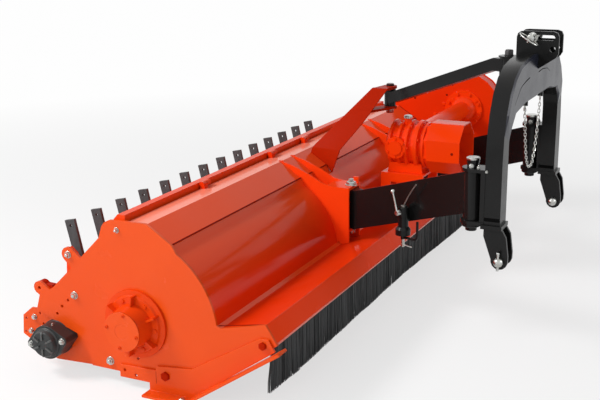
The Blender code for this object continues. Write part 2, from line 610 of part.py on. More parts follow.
def swing_arm(name, px):
    profile = [(0.012, ARM_LOW_Z), (0.050, ARM_LOW_Z), (0.070, 0.343), (ARM_SPAN - 0.012, 0.545)]
    profile += [(ARM_SPAN - 0.012, 0.697), (0.050, 0.4955), (0.012, 0.4955)]
    rings = []
    for side in (-ARM_HALF, ARM_HALF):
        rings.append([(*along(px, s, side), z) for s, z in profile])
    arm = mesh_object(name, loft(rings))
    low = rod("low", "z", (px, ARM_F), 0.030, ARM_LOW_Z, 0.4955, 20)
    high = rod("high", "z", along(px, ARM_SPAN, 0.0), 0.030, ARM_HEAD_Z, 0.700, 20)
    join(arm, low, high)
    room = [(0.070, 0.343 + ARM_WALL), (ARM_SPAN - 0.040, 0.5365 + ARM_WALL)]
    room += [(ARM_SPAN - 0.040, 0.688 - ARM_WALL), (0.070, 0.5015 - ARM_WALL)]
    inside = []
    for side in (ARM_WALL - ARM_HALF, ARM_HALF - ARM_WALL):
        inside.append([(*along(px, s, side), z) for s, z in room])
    drain = rod("drain", "z", along(px, 0.110, 0.0), 0.005, 0.330, 0.380, 8)
    cut(arm, mesh_object("room", loft(inside)), drain)
    cut(arm, rod("bore", "z", (px, ARM_F), 0.0126, 0.30, 0.52, 16))
    cut(arm, rod("bore", "z", along(px, ARM_SPAN, 0.0), 0.0126, 0.50, 0.72, 16))
    return arm


near_arm = swing_arm("near_arm", ARM_NEAR_X)
CRADLE_S = 0.380
CRADLE_SIDE = 0.0515
cradle_at = along(ARM_NEAR_X, CRADLE_S, CRADLE_SIDE)
SOCKET_Z = (0.402, 0.508)
socket = rod("socket", "z", cradle_at, 0.0200, *SOCKET_Z, 14)
bridge = ((-0.012, 0.020), (0.012, 0.020), (0.012, 0.050), (-0.012, 0.050))
bridge_ring = [along(ARM_NEAR_X, CRADLE_S + s, side) for s, side in bridge]
gusset = ((-0.044, 0.014), (-0.036, 0.014), (0.000, 0.047), (0.000, 0.056), (-0.006, 0.056))
gusset_ring = [along(ARM_NEAR_X, CRADLE_S + s, side) for s, side in gusset]
join(near_arm, socket, prism_z("bridge", bridge_ring, 0.456, 0.498))
join(near_arm, prism_z("gusset", gusset_ring, 0.406, 0.452))
cut(near_arm, rod("bore", "z", cradle_at, 0.0052, 0.30, 0.60, 12))
place_origin(near_arm, ARM_NEAR_X, ARM_F, ARM_LOW_Z)
finish(near_arm, "near_arm", "black_paint")
far_arm = swing_arm("far_arm", ARM_FAR_X)
place_origin(far_arm, ARM_FAR_X, ARM_F, ARM_LOW_Z)
finish(far_arm, "far_arm", "black_paint")


# Round bar bent along a path of machine points.
def bar(name, path, radius, sides=8, origin=(CENTRE_X, CENTRE_F, 0.0)):
    points = [Vector(p) for p in path]
    rings = []
    side = None
    for i, p in enumerate(points):
        ahead = points[min(i + 1, len(points) - 1)] - p
        behind = p - points[max(i - 1, 0)]
        tangent = (ahead.normalized() + behind.normalized()).normalized()
        if side is None:
            side = tangent.orthogonal().normalized()
        side = (side - tangent * side.dot(tangent)).normalized()
        other = tangent.cross(side)
        ring = []
        for k in range(sides):
            t = 2.0 * math.pi * k / sides
            ring.append(tuple(p + radius * (math.cos(t) * side + math.sin(t) * other)))
        rings.append(ring)
    return mesh_object(name, loft(rings), origin)


# Drive-shaft cradle: bent rod that turns in the socket on the near arm, and its clamp lever.
cx, cf = cradle_at
ROD_R = 0.0045


def beside(s, z):
    """Point in the cradle's plane: s along the arm from the socket's axis."""
    return (*along(ARM_NEAR_X, CRADLE_S + s, CRADLE_SIDE), z)


upright = [beside(0.0, 0.356), beside(0.0, 0.506), beside(0.002, 0.516), beside(0.024, 0.552)]
upright += [beside(0.046, 0.582), beside(0.068, 0.608)]
cradle = bar("cradle", upright, ROD_R, 8)
hook = [beside(0.000, 0.3945), beside(0.066, 0.3945), beside(0.075, 0.399), beside(0.078, 0.408)]
hook += [beside(0.079, 0.468)]
join(cradle, bar("hook", hook, ROD_R, 8))
join(cradle, lathe("stop", "z", (cx, cf), [(0.3600, 0.011), (0.3680, 0.011)], 12))
join(cradle, lathe("collar", "z", (cx, cf), [(0.5090, 0.0110), (0.5170, 0.0110)], 12))
place_origin(cradle, cx, cf, 0.430)
finish(cradle, "shaft_cradle", "zinc_plate", smooth=True)
out0 = along(ARM_NEAR_X, CRADLE_S, CRADLE_SIDE + 0.0205)
out1 = along(ARM_NEAR_X, CRADLE_S, CRADLE_SIDE + 0.036)
CLAMP_Z = 0.490
clamp = bar("clamp", [(*out0, CLAMP_Z), (*out1, CLAMP_Z)], 0.009, 8)
grip0 = along(ARM_NEAR_X, CRADLE_S + 0.004, CRADLE_SIDE + 0.031)
grip1 = along(ARM_NEAR_X, CRADLE_S - 0.024, CRADLE_SIDE + 0.031)
join(clamp, bar("lever", [(*grip0, CLAMP_Z - 0.008), (*grip1, CLAMP_Z + 0.074)], 0.0050, 8))
place_origin(clamp, *out0, CLAMP_Z)
finish(clamp, "cradle_clamp", "zinc_plate", smooth=True)

# Upper strut: square tube between a barrel on the casing and a flat eye on the headstock.
STRUT_HEAD_LOW = 0.9855
STRUT_HEAD_TOP = 1.0345
profile = [(0.010, 0.778), (0.030, 0.778), (ARM_SPAN - 0.060, STRUT_HEAD_LOW)]
profile += [(ARM_SPAN - 0.012, STRUT_HEAD_LOW), (ARM_SPAN - 0.012, STRUT_HEAD_TOP)]
profile += [(ARM_SPAN - 0.060, STRUT_HEAD_TOP), (0.030, 0.828), (0.010, 0.828)]
rings = []
for side in (-0.022, 0.022):
    rings.append([(*along(STRUT_X, s, side), z) for s, z in profile])
strut = mesh_object("strut", loft(rings))
join(strut, rod("low", "z", (STRUT_X, ARM_F), 0.0245, STRUT_LOW_Z, STRUT_TOP_Z, 16))
strut_head = along(STRUT_X, ARM_SPAN, 0.0)
join(strut, rod("high", "z", strut_head, 0.0245, STRUT_HEAD_LOW, STRUT_HEAD_TOP, 16))
cut(strut, rod("bore", "z", (STRUT_X, ARM_F), 0.0101, 0.70, 0.90, 12))
cut(strut, rod("bore", "z", strut_head, 0.0101, 0.95, 1.10, 12))
place_origin(strut, STRUT_X, ARM_F, STRUT_LOW_Z)
finish(strut, "upper_strut", "black_paint")

# Headstock: arch of two legs and a deep head beam.
LEG_OUT = 0.470
LEG_IN = 0.392
ARCH_F0 = 1.350
ARCH_F1 = 1.410
LEG_FOOT = 0.510
outer_left = [(-LEG_OUT, LEG_FOOT), (-LEG_OUT + 0.002, 0.740), (-LEG_OUT + 0.011, 0.830)]
outer_left += [(-LEG_OUT + 0.032, 0.902), (-LEG_OUT + 0.069, 0.966), (-LEG_OUT + 0.120, 1.014)]
outer_left += [(-LEG_OUT + 0.190, 1.046), (-0.190, 1.060), (-0.060, 1.066)]
outer = outer_left + [(-x, z) for x, z in reversed(outer_left)]
inner_left = [(-LEG_IN, LEG_FOOT), (-LEG_IN, 0.800), (-LEG_IN + 0.012, 0.846)]
inner_left += [(-LEG_IN + 0.060, 0.886), (-0.180, 0.903)]
inner = inner_left + [(-x, z) for x, z in reversed(inner_left)]
arch_ring = [(HEAD_X + x, z) for x, z in outer + inner[::-1]]
head = prism_f("head", arch_ring, ARCH_F0, ARCH_F1)
HEAD_WALL = 0.007
for side in (-1.0, 1.0):
    ends = sorted((HEAD_X + side * (LEG_OUT - HEAD_WALL - 0.006), HEAD_X + side * (LEG_IN + HEAD_WALL)))
    room = box("room", *ends, ARCH_F0 + HEAD_WALL, ARCH_F1 - HEAD_WALL, LEG_FOOT + 0.012, 0.810)
    middle = (sum(ends) / 2, (ARCH_F0 + ARCH_F1) / 2)
    cut(head, room, rod("drain", "z", middle, 0.006, LEG_FOOT - 0.010, LEG_FOOT + 0.020, 8))
beam_half = LEG_IN - 0.060
beam_room = [(-beam_half, 0.912), (-beam_half, 1.008), (0.050 - beam_half, 1.032)]
beam_room += [(-x, z) for x, z in reversed(beam_room)]
room = prism_f("room", [(HEAD_X + x, z) for x, z in beam_room], ARCH_F0 + HEAD_WALL, 1.395)
cut(head, room, rod("drain", "f", (HEAD_X, 0.960), 0.006, ARCH_F0 - 0.010, ARCH_F0 + 0.020, 8))
raised = [(-LEG_IN + 0.020, 0.905), (-LEG_IN + 0.085, 0.920), (-0.150, 0.936), (0.150, 0.936)]
raised += [(LEG_IN - 0.085, 0.920), (LEG_IN - 0.020, 0.905), (LEG_IN - 0.050, 0.985)]
raised += [(LEG_IN - 0.120, 1.025), (-LEG_IN + 0.120, 1.025), (-LEG_IN + 0.050, 0.985)]
join(head, prism_f("raised", [(HEAD_X + x, z) for x, z in raised], 1.400, 1.416))

# Clevises under the legs.
CLEVIS_PIN = (1.412, 0.391)
for side in (-1.0, 1.0):
    middle = HEAD_X + side * HITCH_SPACING / 2
    shape = [(1.354, 0.516), (1.353, 0.478), (1.382, 0.396)]
    shape += arc(*CLEVIS_PIN, 0.030, 190, 350, 6) + [(1.442, 0.411), (1.433, 0.478), (1.411, 0.516)]
    for x0 in (middle - 0.037, middle + 0.025):
        lug = prism_x("lug", shape, x0, x0 + 0.012)
        cut(lug, rod("hole", "x", CLEVIS_PIN, 0.0150, x0 - 0.02, x0 + 0.04, 12))
        join(head, lug)
    sole_ring = [(middle - 0.045, 1.343), (middle + 0.045, 1.343)]
    sole_ring += [(middle + 0.045, 1.418), (middle - 0.045, 1.418)]
    pad = prism_z("pad", sole_ring, 0.504, 0.518)
    join(head, cut(pad, rod("drain", "z", (middle, (ARCH_F0 + ARCH_F1) / 2), 0.006, 0.49, 0.53, 8)))

# Pivot ears behind the legs, each pair with its pin.
for px in (ARM_NEAR_X, ARM_FAR_X):
    qx, qf = along(px, ARM_SPAN, 0.0)
    ear = [(qx + 0.038, 1.352), (qx - 0.038, 1.352)] + arc(qx, qf, 0.038, 180, 360, 7)
    for z0, z1 in ((0.7005, 0.7125), (0.5120, 0.5245)):
        join(head, prism_z("ear", ear, z0, z1))
    join(head, box("back", qx - 0.036, qx + 0.036, 1.336, 1.352, 0.5120, 0.7125))
    pin = [(0.484, 0.0200), (0.506, 0.0220), (0.514, 0.0220), (0.514, 0.0120), (0.702, 0.0120)]
    pin += [(0.702, 0.0210), (0.729, 0.0210), (0.729, 0.0230), (0.746, 0.0230)]
    join(head, lathe("pin", "z", (qx, qf), pin, 10))

# Lugs for the upper strut.
qx, qf = strut_head
for z0 in (STRUT_HEAD_TOP + GAP, STRUT_HEAD_LOW - GAP - LUG_T):
    z1 = z0 + LUG_T
    ear = [(qx + 0.034, 1.354), (qx - 0.034, 1.354)] + arc(qx, qf, 0.034, 180, 360, 7)
    join(head, prism_z("lug", ear, z0, z1))
pin = [(STRUT_HEAD_LOW - 0.022, 0.015), (STRUT_HEAD_LOW - 0.008, 0.015)]
pin += [(STRUT_HEAD_LOW - 0.008, 0.0095), (STRUT_HEAD_TOP + 0.008, 0.0095)]
pin += [(STRUT_HEAD_TOP + 0.008, 0.014), (STRUT_HEAD_TOP + 0.034, 0.014)]
join(head, lathe("pin", "z", (qx, qf), pin, 12))

# Top-link plates with a slot and a second hole.
TOP_PIN = (1.392, 1.122)
top_plate = [(1.332, 1.122), (1.336, 1.136), (1.346, 1.143), (1.360, 1.145), (1.468, 1.145)]
top_plate += [(1.482, 1.140), (1.488, 1.126), (1.488, 1.064), (1.480, 1.050), (1.384, 0.985)]
top_plate += [(1.332, 1.030)]
slot = arc(1.392, 1.122, 0.0095, 90, 270, 6) + arc(1.464, 1.122, 0.0095, 270, 450, 6)
TOP_GAP = 0.062
for x0 in (HEAD_X + 0.010 - TOP_GAP / 2 - 0.010, HEAD_X + 0.010 + TOP_GAP / 2):
    cheek = prism_x("cheek", top_plate, x0, x0 + 0.010)
    cut(cheek, prism_x("slot", slot, x0 - 0.02, x0 + 0.03))
    cut(cheek, rod("hole", "x", (1.466, 1.080), 0.0110, x0 - 0.02, x0 + 0.03, 14))
    join(head, cheek)

# Chain eyes under the head beam.
CHAIN_F = 1.395
CHAIN_ENDS = ((HEAD_X - 0.118, 0.886), (HEAD_X + 0.128, 0.884))
for ex, ez in CHAIN_ENDS:
    eye = box("eye", ex - 0.004, ex + 0.004, CHAIN_F - 0.010, CHAIN_F + 0.010, ez - 0.004, 0.915)
    join(head, eye)
place_origin(head, *along(ARM_NEAR_X, ARM_SPAN, 0.0), ARM_HEAD_Z)
finish(head, "headstock", "black_paint")

# Safety chain hanging from the two eyes.
CHAIN_DROP = 0.246
chain_path = []
for k in range(17):
    t = k / 16.0
    u = 2.0 * t - 1.0
    sag = CHAIN_DROP * (1.0 - abs(u) ** 2.6)
    (ax, az), (bx, bz) = CHAIN_ENDS
    chain_path.append((ax + (bx - ax) * (0.5 + 0.5 * u), CHAIN_F, az + (bz - az) * t - 0.012 - sag))
chain = bar("chain", chain_path, 0.0055, 6)
finish(chain, "safety_chain", "zinc_plate", smooth=True)

# Hitch pins.
for name, side in (("near_hitch_pin", -1.0), ("far_hitch_pin", 1.0)):
    middle = HEAD_X + side * HITCH_SPACING / 2
    profile = [(middle - 0.054, 0.0100), (middle - 0.050, 0.0142), (middle + 0.042, 0.0142)]
    profile += [(middle + 0.042, 0.0205), (middle + 0.050, 0.0205)]
    pin = lathe("pin", "x", CLEVIS_PIN, profile, 12)
    link = rod("link", "z", (middle - 0.044, CLEVIS_PIN[0]), 0.0045, 0.352, 0.412, 8)
    join(pin, link)
    finish(pin, name, "zinc_plate", smooth=True)
middle = HEAD_X + 0.010
profile = [(middle - 0.060, 0.0075), (middle - 0.057, 0.0090), (middle + 0.046, 0.0090)]
profile += [(middle + 0.046, 0.0160), (middle + 0.054, 0.0160)]
top_pin = lathe("pin", "x", TOP_PIN, profile, 14)
lx = middle - 0.0485
hoop = [(lx, TOP_PIN[0] + u, TOP_PIN[1] + v) for u, v in ((0.016, -0.016), (-0.016, 0.016))]
hoop += [(lx - 0.004, TOP_PIN[0] - 0.040, TOP_PIN[1] + 0.018)]
hoop += [(lx - 0.008, TOP_PIN[0] - 0.046, TOP_PIN[1] - 0.002)]
join(top_pin, bar("hoop", hoop, 0.0038, 6))
finish(top_pin, "top_hitch_pin", "zinc_plate", smooth=True)

# Hood: folded sheet hinged on the roof, with tine slots and cheeks at the ear bolts.
hood_line = [(0.3245, 0.572), (0.3245, 0.612), (0.296, 0.612), (0.236, 0.548), (0.216, 0.512)]
hood_line += [(0.150, 0.446), (0.095, 0.391), (0.004, 0.302), (-0.044, 0.266), (-0.058, 0.226)]
hood_under = [(0.3195, 0.572), (0.3195, 0.607), (0.2985, 0.607), (0.2405, 0.5455)]
hood_under += [(0.2200, 0.5090), (0.1535, 0.4425), (0.0985, 0.3875), (0.0070, 0.2980)]
hood_under += [(-0.0395, 0.2630), (-0.0533, 0.2245)]
HOOD_X0 = SIDE + 0.0105
hood = prism_x("hood", hood_line + hood_under[::-1], HOOD_X0, WIDTH - HOOD_X0)
tine_dir = (math.sin(TINE_LEAN), -math.cos(TINE_LEAN))
tine_side = (math.cos(TINE_LEAN), math.sin(TINE_LEAN))


def tine_point(down, across):
    """Point in the plane of a tine: down its length, across its width."""
    f = TINE_TOP[0] + tine_dir[0] * down + tine_side[0] * across
    z = TINE_TOP[1] + tine_dir[1] * down + tine_side[1] * across
    return (f, z)


TINES = [TINE_FIRST + TINE_PITCH * k for k in range(TINE_COUNT)]
SLOT_HALF = TINE_W / 2 + 0.003
for tx in TINES:
    ring = [tine_point(0.120, -SLOT_HALF), tine_point(0.230, -SLOT_HALF)]
    ring += [tine_point(0.230, SLOT_HALF), tine_point(0.120, SLOT_HALF)]
    cut(hood, prism_x("slot", ring, tx - 0.009, tx + 0.009))
for x0 in (HOOD_X0, WIDTH - HOOD_X0 - 0.005):
    cheek = [(0.060, 0.352), (0.125, 0.417), (0.112, 0.452), (0.088, 0.472), (0.066, 0.452)]
    join(hood, prism_x("cheek", cheek, x0, x0 + 0.005))
for hinge_x in HINGE_AT:
    arm = [(0.3200, 0.597), (0.3380, 0.597), (0.3380, 0.611), (0.3200, 0.611)]
    tab = prism_x("tab", arm, hinge_x + 0.0005, hinge_x + 0.026)
    barrel = rod("barrel", "x", (HINGE_F, HINGE_Z), 0.0110, hinge_x + 0.0005, hinge_x + 0.026, 12)
    join(hood, tab, barrel)
    cut(hood, rod("bore", "x", (HINGE_F, HINGE_Z), 0.0062, hinge_x - 0.01, hinge_x + 0.04, 10))
place_origin(hood, WIDTH / 2, HINGE_F, HINGE_Z)
finish(hood, "hood", "orange_paint")

# Rake beam: box bar under the hood with a guide slot for every tine, hung on webs.
BEAM_DOWN = 0.226
BEAM_HALF = (0.020, 0.030)
beam_corners = ((-1, -1), (1, -1), (1, 1), (-1, 1))
ring = [tine_point(BEAM_DOWN + a * BEAM_HALF[0], b * BEAM_HALF[1]) for a, b in beam_corners]
beam = prism_x("beam", ring, SIDE + 0.012, WIDTH - SIDE - 0.012)
GUIDE_GAP = 0.0006
GUIDE_HALF = TINE_W / 2 + GUIDE_GAP
for tx in TINES:
    ring = [tine_point(BEAM_DOWN + a * 0.05, b * GUIDE_HALF) for a, b in beam_corners]
    cut(beam, prism_x("guide", ring, tx - TINE_T / 2 - GUIDE_GAP, tx + TINE_T / 2 + GUIDE_GAP))
web_places = [TINES[k] + TINE_PITCH / 2 for k in range(0, TINE_COUNT - 1, 2)]
for wx in web_places + [WIDTH - TINE_PITCH]:
    web = [tine_point(BEAM_DOWN - 0.016, 0.026), (0.1500, 0.4370), (0.0990, 0.3865), (0.0720, 0.3598)]
    web += [tine_point(BEAM_DOWN - 0.016, -0.026)]
    join(beam, prism_x("web", web, wx - 0.004, wx + 0.004))
place_origin(beam, WIDTH / 2, HINGE_F, HINGE_Z)
finish(beam, "rake_beam", "orange_paint")

# Rake tines: flat bars that slide down through the hood slots and the beam guides.
for k, tx in enumerate(TINES):
    half = TINE_W / 2
    ring = [tine_point(0.0, -half), tine_point(TINE_LENGTH, -half + 0.008)]
    ring += [tine_point(TINE_LENGTH, half), tine_point(0.0, half)]
    tine = prism_x("tine", ring, tx - TINE_T / 2, tx + TINE_T / 2)
    cut(tine, rod("hole", "x", tine_point(0.022, 0.0), 0.0055, tx - 0.02, tx + 0.02, 8))
    place_origin(tine, tx, *tine_point(TINE_LENGTH / 2, 0.0))
    finish(tine, "rake_tine_%02d" % (k + 1), "tine_steel")

# Roller frame: two arms inside the side plates, pivoted at their front.
ROLLER_BORE = 0.0185
frame_line = [(-0.147, 0.114), (-0.141, 0.186), (-0.100, 0.220), (-0.040, 0.222), (0.052, 0.262)]
frame_line += arc(*HEIGHT_HOLES[0], 0.024, 150, 30, 4) + [(0.150, 0.200), (0.262, 0.104)]
frame_line += arc(*FRAME_PIVOT, 0.030, 20, -80, 5) + [(0.066, 0.043), (0.000, 0.040)]
frame_line += [(-0.060, 0.062), (-0.125, 0.102)]
ARM_IN = SIDE + 0.0010
ARM_T = 0.008
SCRAPER_HOLES = ((-0.128, 0.176), (-0.134, 0.124), (-0.064, 0.204), (-0.052, 0.166))
ROLLER_SIDES = (("near", -1.0, ARM_IN), ("far", 1.0, WIDTH - ARM_IN - ARM_T))
for side_name, out, x0 in ROLLER_SIDES:
    x1 = x0 + ARM_T
    frame = prism_x("frame", frame_line, x0, x1)
    reach = (x0 - 0.02, x1 + 0.02)
    cut(frame, rod("bore", "x", (ROLLER_F, ROLLER_Z), ROLLER_BORE, *reach, 10))
    for f, z in SCRAPER_HOLES:
        cut(frame, rod("hole", "x", (f, z), 0.0045, *reach, 10))
    face = x0 if out < 0 else x1
    for f, z in ((-0.090, 0.186), (-0.108, 0.130)):
        ends = sorted((face - out * 0.002, face + out * 0.0085))
        join(frame, rod("bolt", "x", (f, z), 0.0085, ends[0], ends[1], 6))
    place_origin(frame, x0, *FRAME_PIVOT)
    finish(frame, side_name + "_roller_arm", "orange_paint")

# Scraper bar behind the roller.
scraper = [(-0.116, 0.118), (-0.098, 0.118), (-0.0775, 0.140), (-0.0755, 0.1485), (-0.0800, 0.1500)]
scraper += [(-0.100, 0.128), (-0.104, 0.196), (-0.116, 0.196)]
scraper_bar = prism_x("scraper", scraper, ARM_IN + ARM_T + GAP, WIDTH - ARM_IN - ARM_T - GAP)
place_origin(scraper_bar, WIDTH / 2, *FRAME_PIVOT)
finish(scraper_bar, "roller_scraper", "orange_paint")

# Roller: tube with end discs on short stub axles that end inside the bearings.
axle_in = ARM_IN + ARM_T + 0.015
STUB_END = -0.014
roller_profile = [(STUB_END, 0.0175), (axle_in, 0.0175), (axle_in, ROLLER_R - 0.004)]
roller_profile += [(axle_in + 0.004, ROLLER_R)]
roller_profile += [(WIDTH - axle_in - 0.004, ROLLER_R), (WIDTH - axle_in, ROLLER_R - 0.004)]
roller_profile += [(WIDTH - axle_in, 0.0175), (WIDTH - STUB_END, 0.0175)]
roller = lathe("roller", "x", (ROLLER_F, ROLLER_Z), roller_profile, 22)
room_in = axle_in + 0.010
cut(roller, rod("room", "x", (ROLLER_F, ROLLER_Z), ROLLER_R - 0.006, room_in, WIDTH - room_in, 22))
cut(roller, rod("vent", "x", (ROLLER_F, ROLLER_Z + 0.050), 0.005, axle_in - 0.010, room_in + 0.010, 6))
place_origin(roller, WIDTH / 2, ROLLER_F, ROLLER_Z)
finish(roller, "roller", "orange_paint", smooth=True)

# Roller bearing housings: flanged castings outside the arms, with ribbed end caps.
for name, face, out in (
    ("near_roller_bearing", ARM_IN - GAP, -1.0),
    ("far_roller_bearing", WIDTH - ARM_IN + GAP, 1.0),
):
    profile = [(face, 0.050), (face + out * 0.012, 0.050), (face + out * 0.030, 0.0495)]
    profile += [(face + out * 0.074, 0.0495), (face + out * 0.082, 0.041), (face + out * 0.088, 0.038)]
    housing = lathe("housing", "x", (ROLLER_F, ROLLER_Z), profile, 16)
    for turn in (10.0, 190.0):
        f, z = polar(ROLLER_F, ROLLER_Z, 0.048, turn)
        ends = sorted((face, face + out * 0.080))
        join(housing, rod("lobe", "x", (f, z), 0.013, ends[0], ends[1], 8))
        ends = sorted((face + out * 0.078, face + out * 0.089))
        join(housing, rod("bolt", "x", (f, z), 0.009, ends[0], ends[1], 6))
    for turn in (55.0, 100.0, 145.0, 235.0, 305.0):
        corners = ((0.012, -14.0), (0.034, -5.0), (0.034, 5.0), (0.012, 14.0))
        rib = [polar(ROLLER_F, ROLLER_Z, radius, turn + lean) for radius, lean in corners]
        ends = sorted((face + out * 0.084, face + out * 0.092))
        join(housing, prism_x("rib", rib, ends[0], ends[1]))
    ends = sorted((face - out * 0.010, face + out * 0.030))
    cut(housing, rod("bore", "x", (ROLLER_F, ROLLER_Z), ROLLER_BORE, ends[0], ends[1], 16))
    place_origin(housing, face, ROLLER_F, ROLLER_Z)
    finish(housing, name, "bearing_black", smooth=True)

# Front brush: rows of bristles in one piece with the strip that holds them behind the lip.
BRUSH_TOP = 0.262
BRUSH_ROOT = 0.236
BRUSH_FOOT = 0.062
BRUSH_F0 = 0.8595
BRUSH_F1 = 0.8675
BRISTLES = 312
BRUSH_X0 = SIDE + 0.001
BRISTLE_PITCH = (WIDTH - 2 * BRUSH_X0) / BRISTLES
spread = random.Random(7)


def brush(name, first, last):
    """Comb of bristles number first to last, with a narrow backing strip."""
    x_first = BRUSH_X0 + BRISTLE_PITCH * first + 0.0008
    x_last = BRUSH_X0 + BRISTLE_PITCH * last - 0.0008
    top = [(x_first, BRUSH_TOP), (x_last, BRUSH_TOP)]
    lower = []
    for k in range(last - 1, first - 1, -1):
        x0 = BRUSH_X0 + BRISTLE_PITCH * k + 0.0009
        x1 = BRUSH_X0 + BRISTLE_PITCH * (k + 1) - 0.0009
        sway = spread.uniform(-0.0007, 0.0007)
        foot = BRUSH_FOOT + spread.uniform(-0.003, 0.003)
        lower += [(x1, BRUSH_ROOT), (x1 + sway, foot), (x0 + sway, foot), (x0, BRUSH_ROOT)]
    strip = prism_f(name, top + lower, BRUSH_F0, BRUSH_F1)
    return finish(strip, name, "bristle_black")


FIRST_STRIP = 26
brush("brush_short_strip", 0, FIRST_STRIP)
brush("brush_long_strip", FIRST_STRIP, BRISTLES)
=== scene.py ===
import math
import random

import bmesh
import bpy
from mathutils import Matrix, Vector


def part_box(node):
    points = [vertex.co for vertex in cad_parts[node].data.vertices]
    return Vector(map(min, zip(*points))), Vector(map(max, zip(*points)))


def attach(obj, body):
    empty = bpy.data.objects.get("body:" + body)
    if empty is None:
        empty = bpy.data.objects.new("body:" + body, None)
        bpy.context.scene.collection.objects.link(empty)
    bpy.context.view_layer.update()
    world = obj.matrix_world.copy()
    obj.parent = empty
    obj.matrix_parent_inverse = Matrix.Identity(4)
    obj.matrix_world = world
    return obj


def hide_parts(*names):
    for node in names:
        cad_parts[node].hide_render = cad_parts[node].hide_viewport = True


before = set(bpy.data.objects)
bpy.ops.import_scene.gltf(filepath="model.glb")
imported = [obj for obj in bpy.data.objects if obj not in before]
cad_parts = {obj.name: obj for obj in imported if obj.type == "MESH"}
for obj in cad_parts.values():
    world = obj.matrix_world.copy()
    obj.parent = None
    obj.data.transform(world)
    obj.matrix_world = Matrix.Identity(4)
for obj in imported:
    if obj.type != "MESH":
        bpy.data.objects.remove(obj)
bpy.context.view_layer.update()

# Machine coordinates in metres: x from the near side plate, f forward of the rear datum, z above the ground.
CENTRE_X = 1.20625
CENTRE_F = 0.6705
WIDTH = 2.400
ROTOR = (0.357, 0.240)
ROOF_R = 0.311
ROLLER = (0.012, 0.130)
DRIVE = (0.765, 0.600)
DRIVE_X = 1.485
ARM_F = 0.700
ARM_XS = (1.050, 1.920)
ARM_SHIFT = 0.330
ARM_REACH = 0.598
SPAN = math.hypot(ARM_SHIFT, ARM_REACH)
HEAD_X = 1.155
LEG_X = 0.470

# The machine's axes in the shared frame.
X = Vector((1.0, 0.0, 0.0))
F = Vector((0.0, -1.0, 0.0))
Z = Vector((0.0, 0.0, 1.0))


def at(x, f, z):
    """Machine coordinates to the shared frame."""
    return Vector((x - CENTRE_X, CENTRE_F - f, z))


def along(px, s, side, z):
    """Point beside a swing arm: s from the casing pivot, side to the arm's left."""
    dx, df = -ARM_SHIFT / SPAN, ARM_REACH / SPAN
    return at(px + dx * s - df * side, ARM_F + df * s + dx * side, z)


def polar(f, z, radius, angle):
    """Plane point at a radius and an angle in degrees from a centre."""
    t = math.radians(angle)
    return (f + radius * math.cos(t), z + radius * math.sin(t))


# Scales of the noise patterns, in cycles per metre.
MOTTLE_SCALE = 2.6
WAVE_SCALE = 3.2
DUST_SCALE = 7.0
GLOSS_SCALE = 11.0
PEEL_SCALE = 420.0
GRAIN_SCALE = 900.0
DUST_COLOUR = (0.42, 0.36, 0.30)


class Nodes:
    """Adds and links the shader nodes of one material."""

    def __init__(self, name):
        self.mat = bpy.data.materials.new(name)
        self.mat.use_nodes = True
        self.tree = self.mat.node_tree
        self.main = self.tree.nodes["Principled BSDF"]
        self.place = self.add("ShaderNodeTexCoord").outputs["Object"]

    def add(self, kind, **values):
        node = self.tree.nodes.new(kind)
        for key, value in values.items():
            setattr(node, key, value)
        return node

    def link(self, out, into):
        self.tree.links.new(out, into)

    def noise(self, scale, detail=2.0, stretch=None):
        """Noise in object space; stretch scales the place along each axis."""
        place = self.place
        if stretch:
            mapping = self.add("ShaderNodeMapping")
            mapping.inputs["Scale"].default_value = stretch
            self.link(place, mapping.inputs["Vector"])
            place = mapping.outputs["Vector"]
        node = self.add("ShaderNodeTexNoise")
        node.inputs["Scale"].default_value = scale
        node.inputs["Detail"].default_value = detail
        self.link(place, node.inputs["Vector"])
        return node.outputs["Fac"]

    def remap(self, value, low, high, to_low=0.0, to_high=1.0):
        node = self.add("ShaderNodeMapRange")
        for key, number in zip(("From Min", "From Max", "To Min", "To Max"), (low, high, to_low, to_high)):
            node.inputs[key].default_value = number
        self.link(value, node.inputs["Value"])
        return node.outputs["Result"]

    def mix(self, factor, one, other):
        node = self.add("ShaderNodeMix", data_type="RGBA")
        self.link(factor, node.inputs["Factor"])
        for key, value in (("A", one), ("B", other)):
            socket = next(s for s in node.inputs if s.name == key and s.type == "RGBA")
            if isinstance(value, tuple):
                socket.default_value = (*value, 1.0)
            else:
                self.link(value, socket)
        return next(s for s in node.outputs if s.type == "RGBA")

    def bump(self, height, strength, distance, before=None):
        node = self.add("ShaderNodeBump")
        node.inputs["Strength"].default_value = strength
        node.inputs["Distance"].default_value = distance
        self.link(height, node.inputs["Height"])
        if before is not None:
            self.link(before, node.inputs["Normal"])
        return node.outputs["Normal"]

    def facing_up(self, low=0.35, high=1.0):
        """0 where the normal's upward part is low, 1 where it is high."""
        normal = self.add("ShaderNodeNewGeometry").outputs["Normal"]
        split = self.add("ShaderNodeSeparateXYZ")
        self.link(normal, split.inputs["Vector"])
        return self.remap(split.outputs["Z"], low, high)

    def times(self, one, other):
        node = self.add("ShaderNodeMath", operation="MULTIPLY")
        self.link(one, node.inputs[0])
        self.link(other, node.inputs[1])
        return node.outputs["Value"]


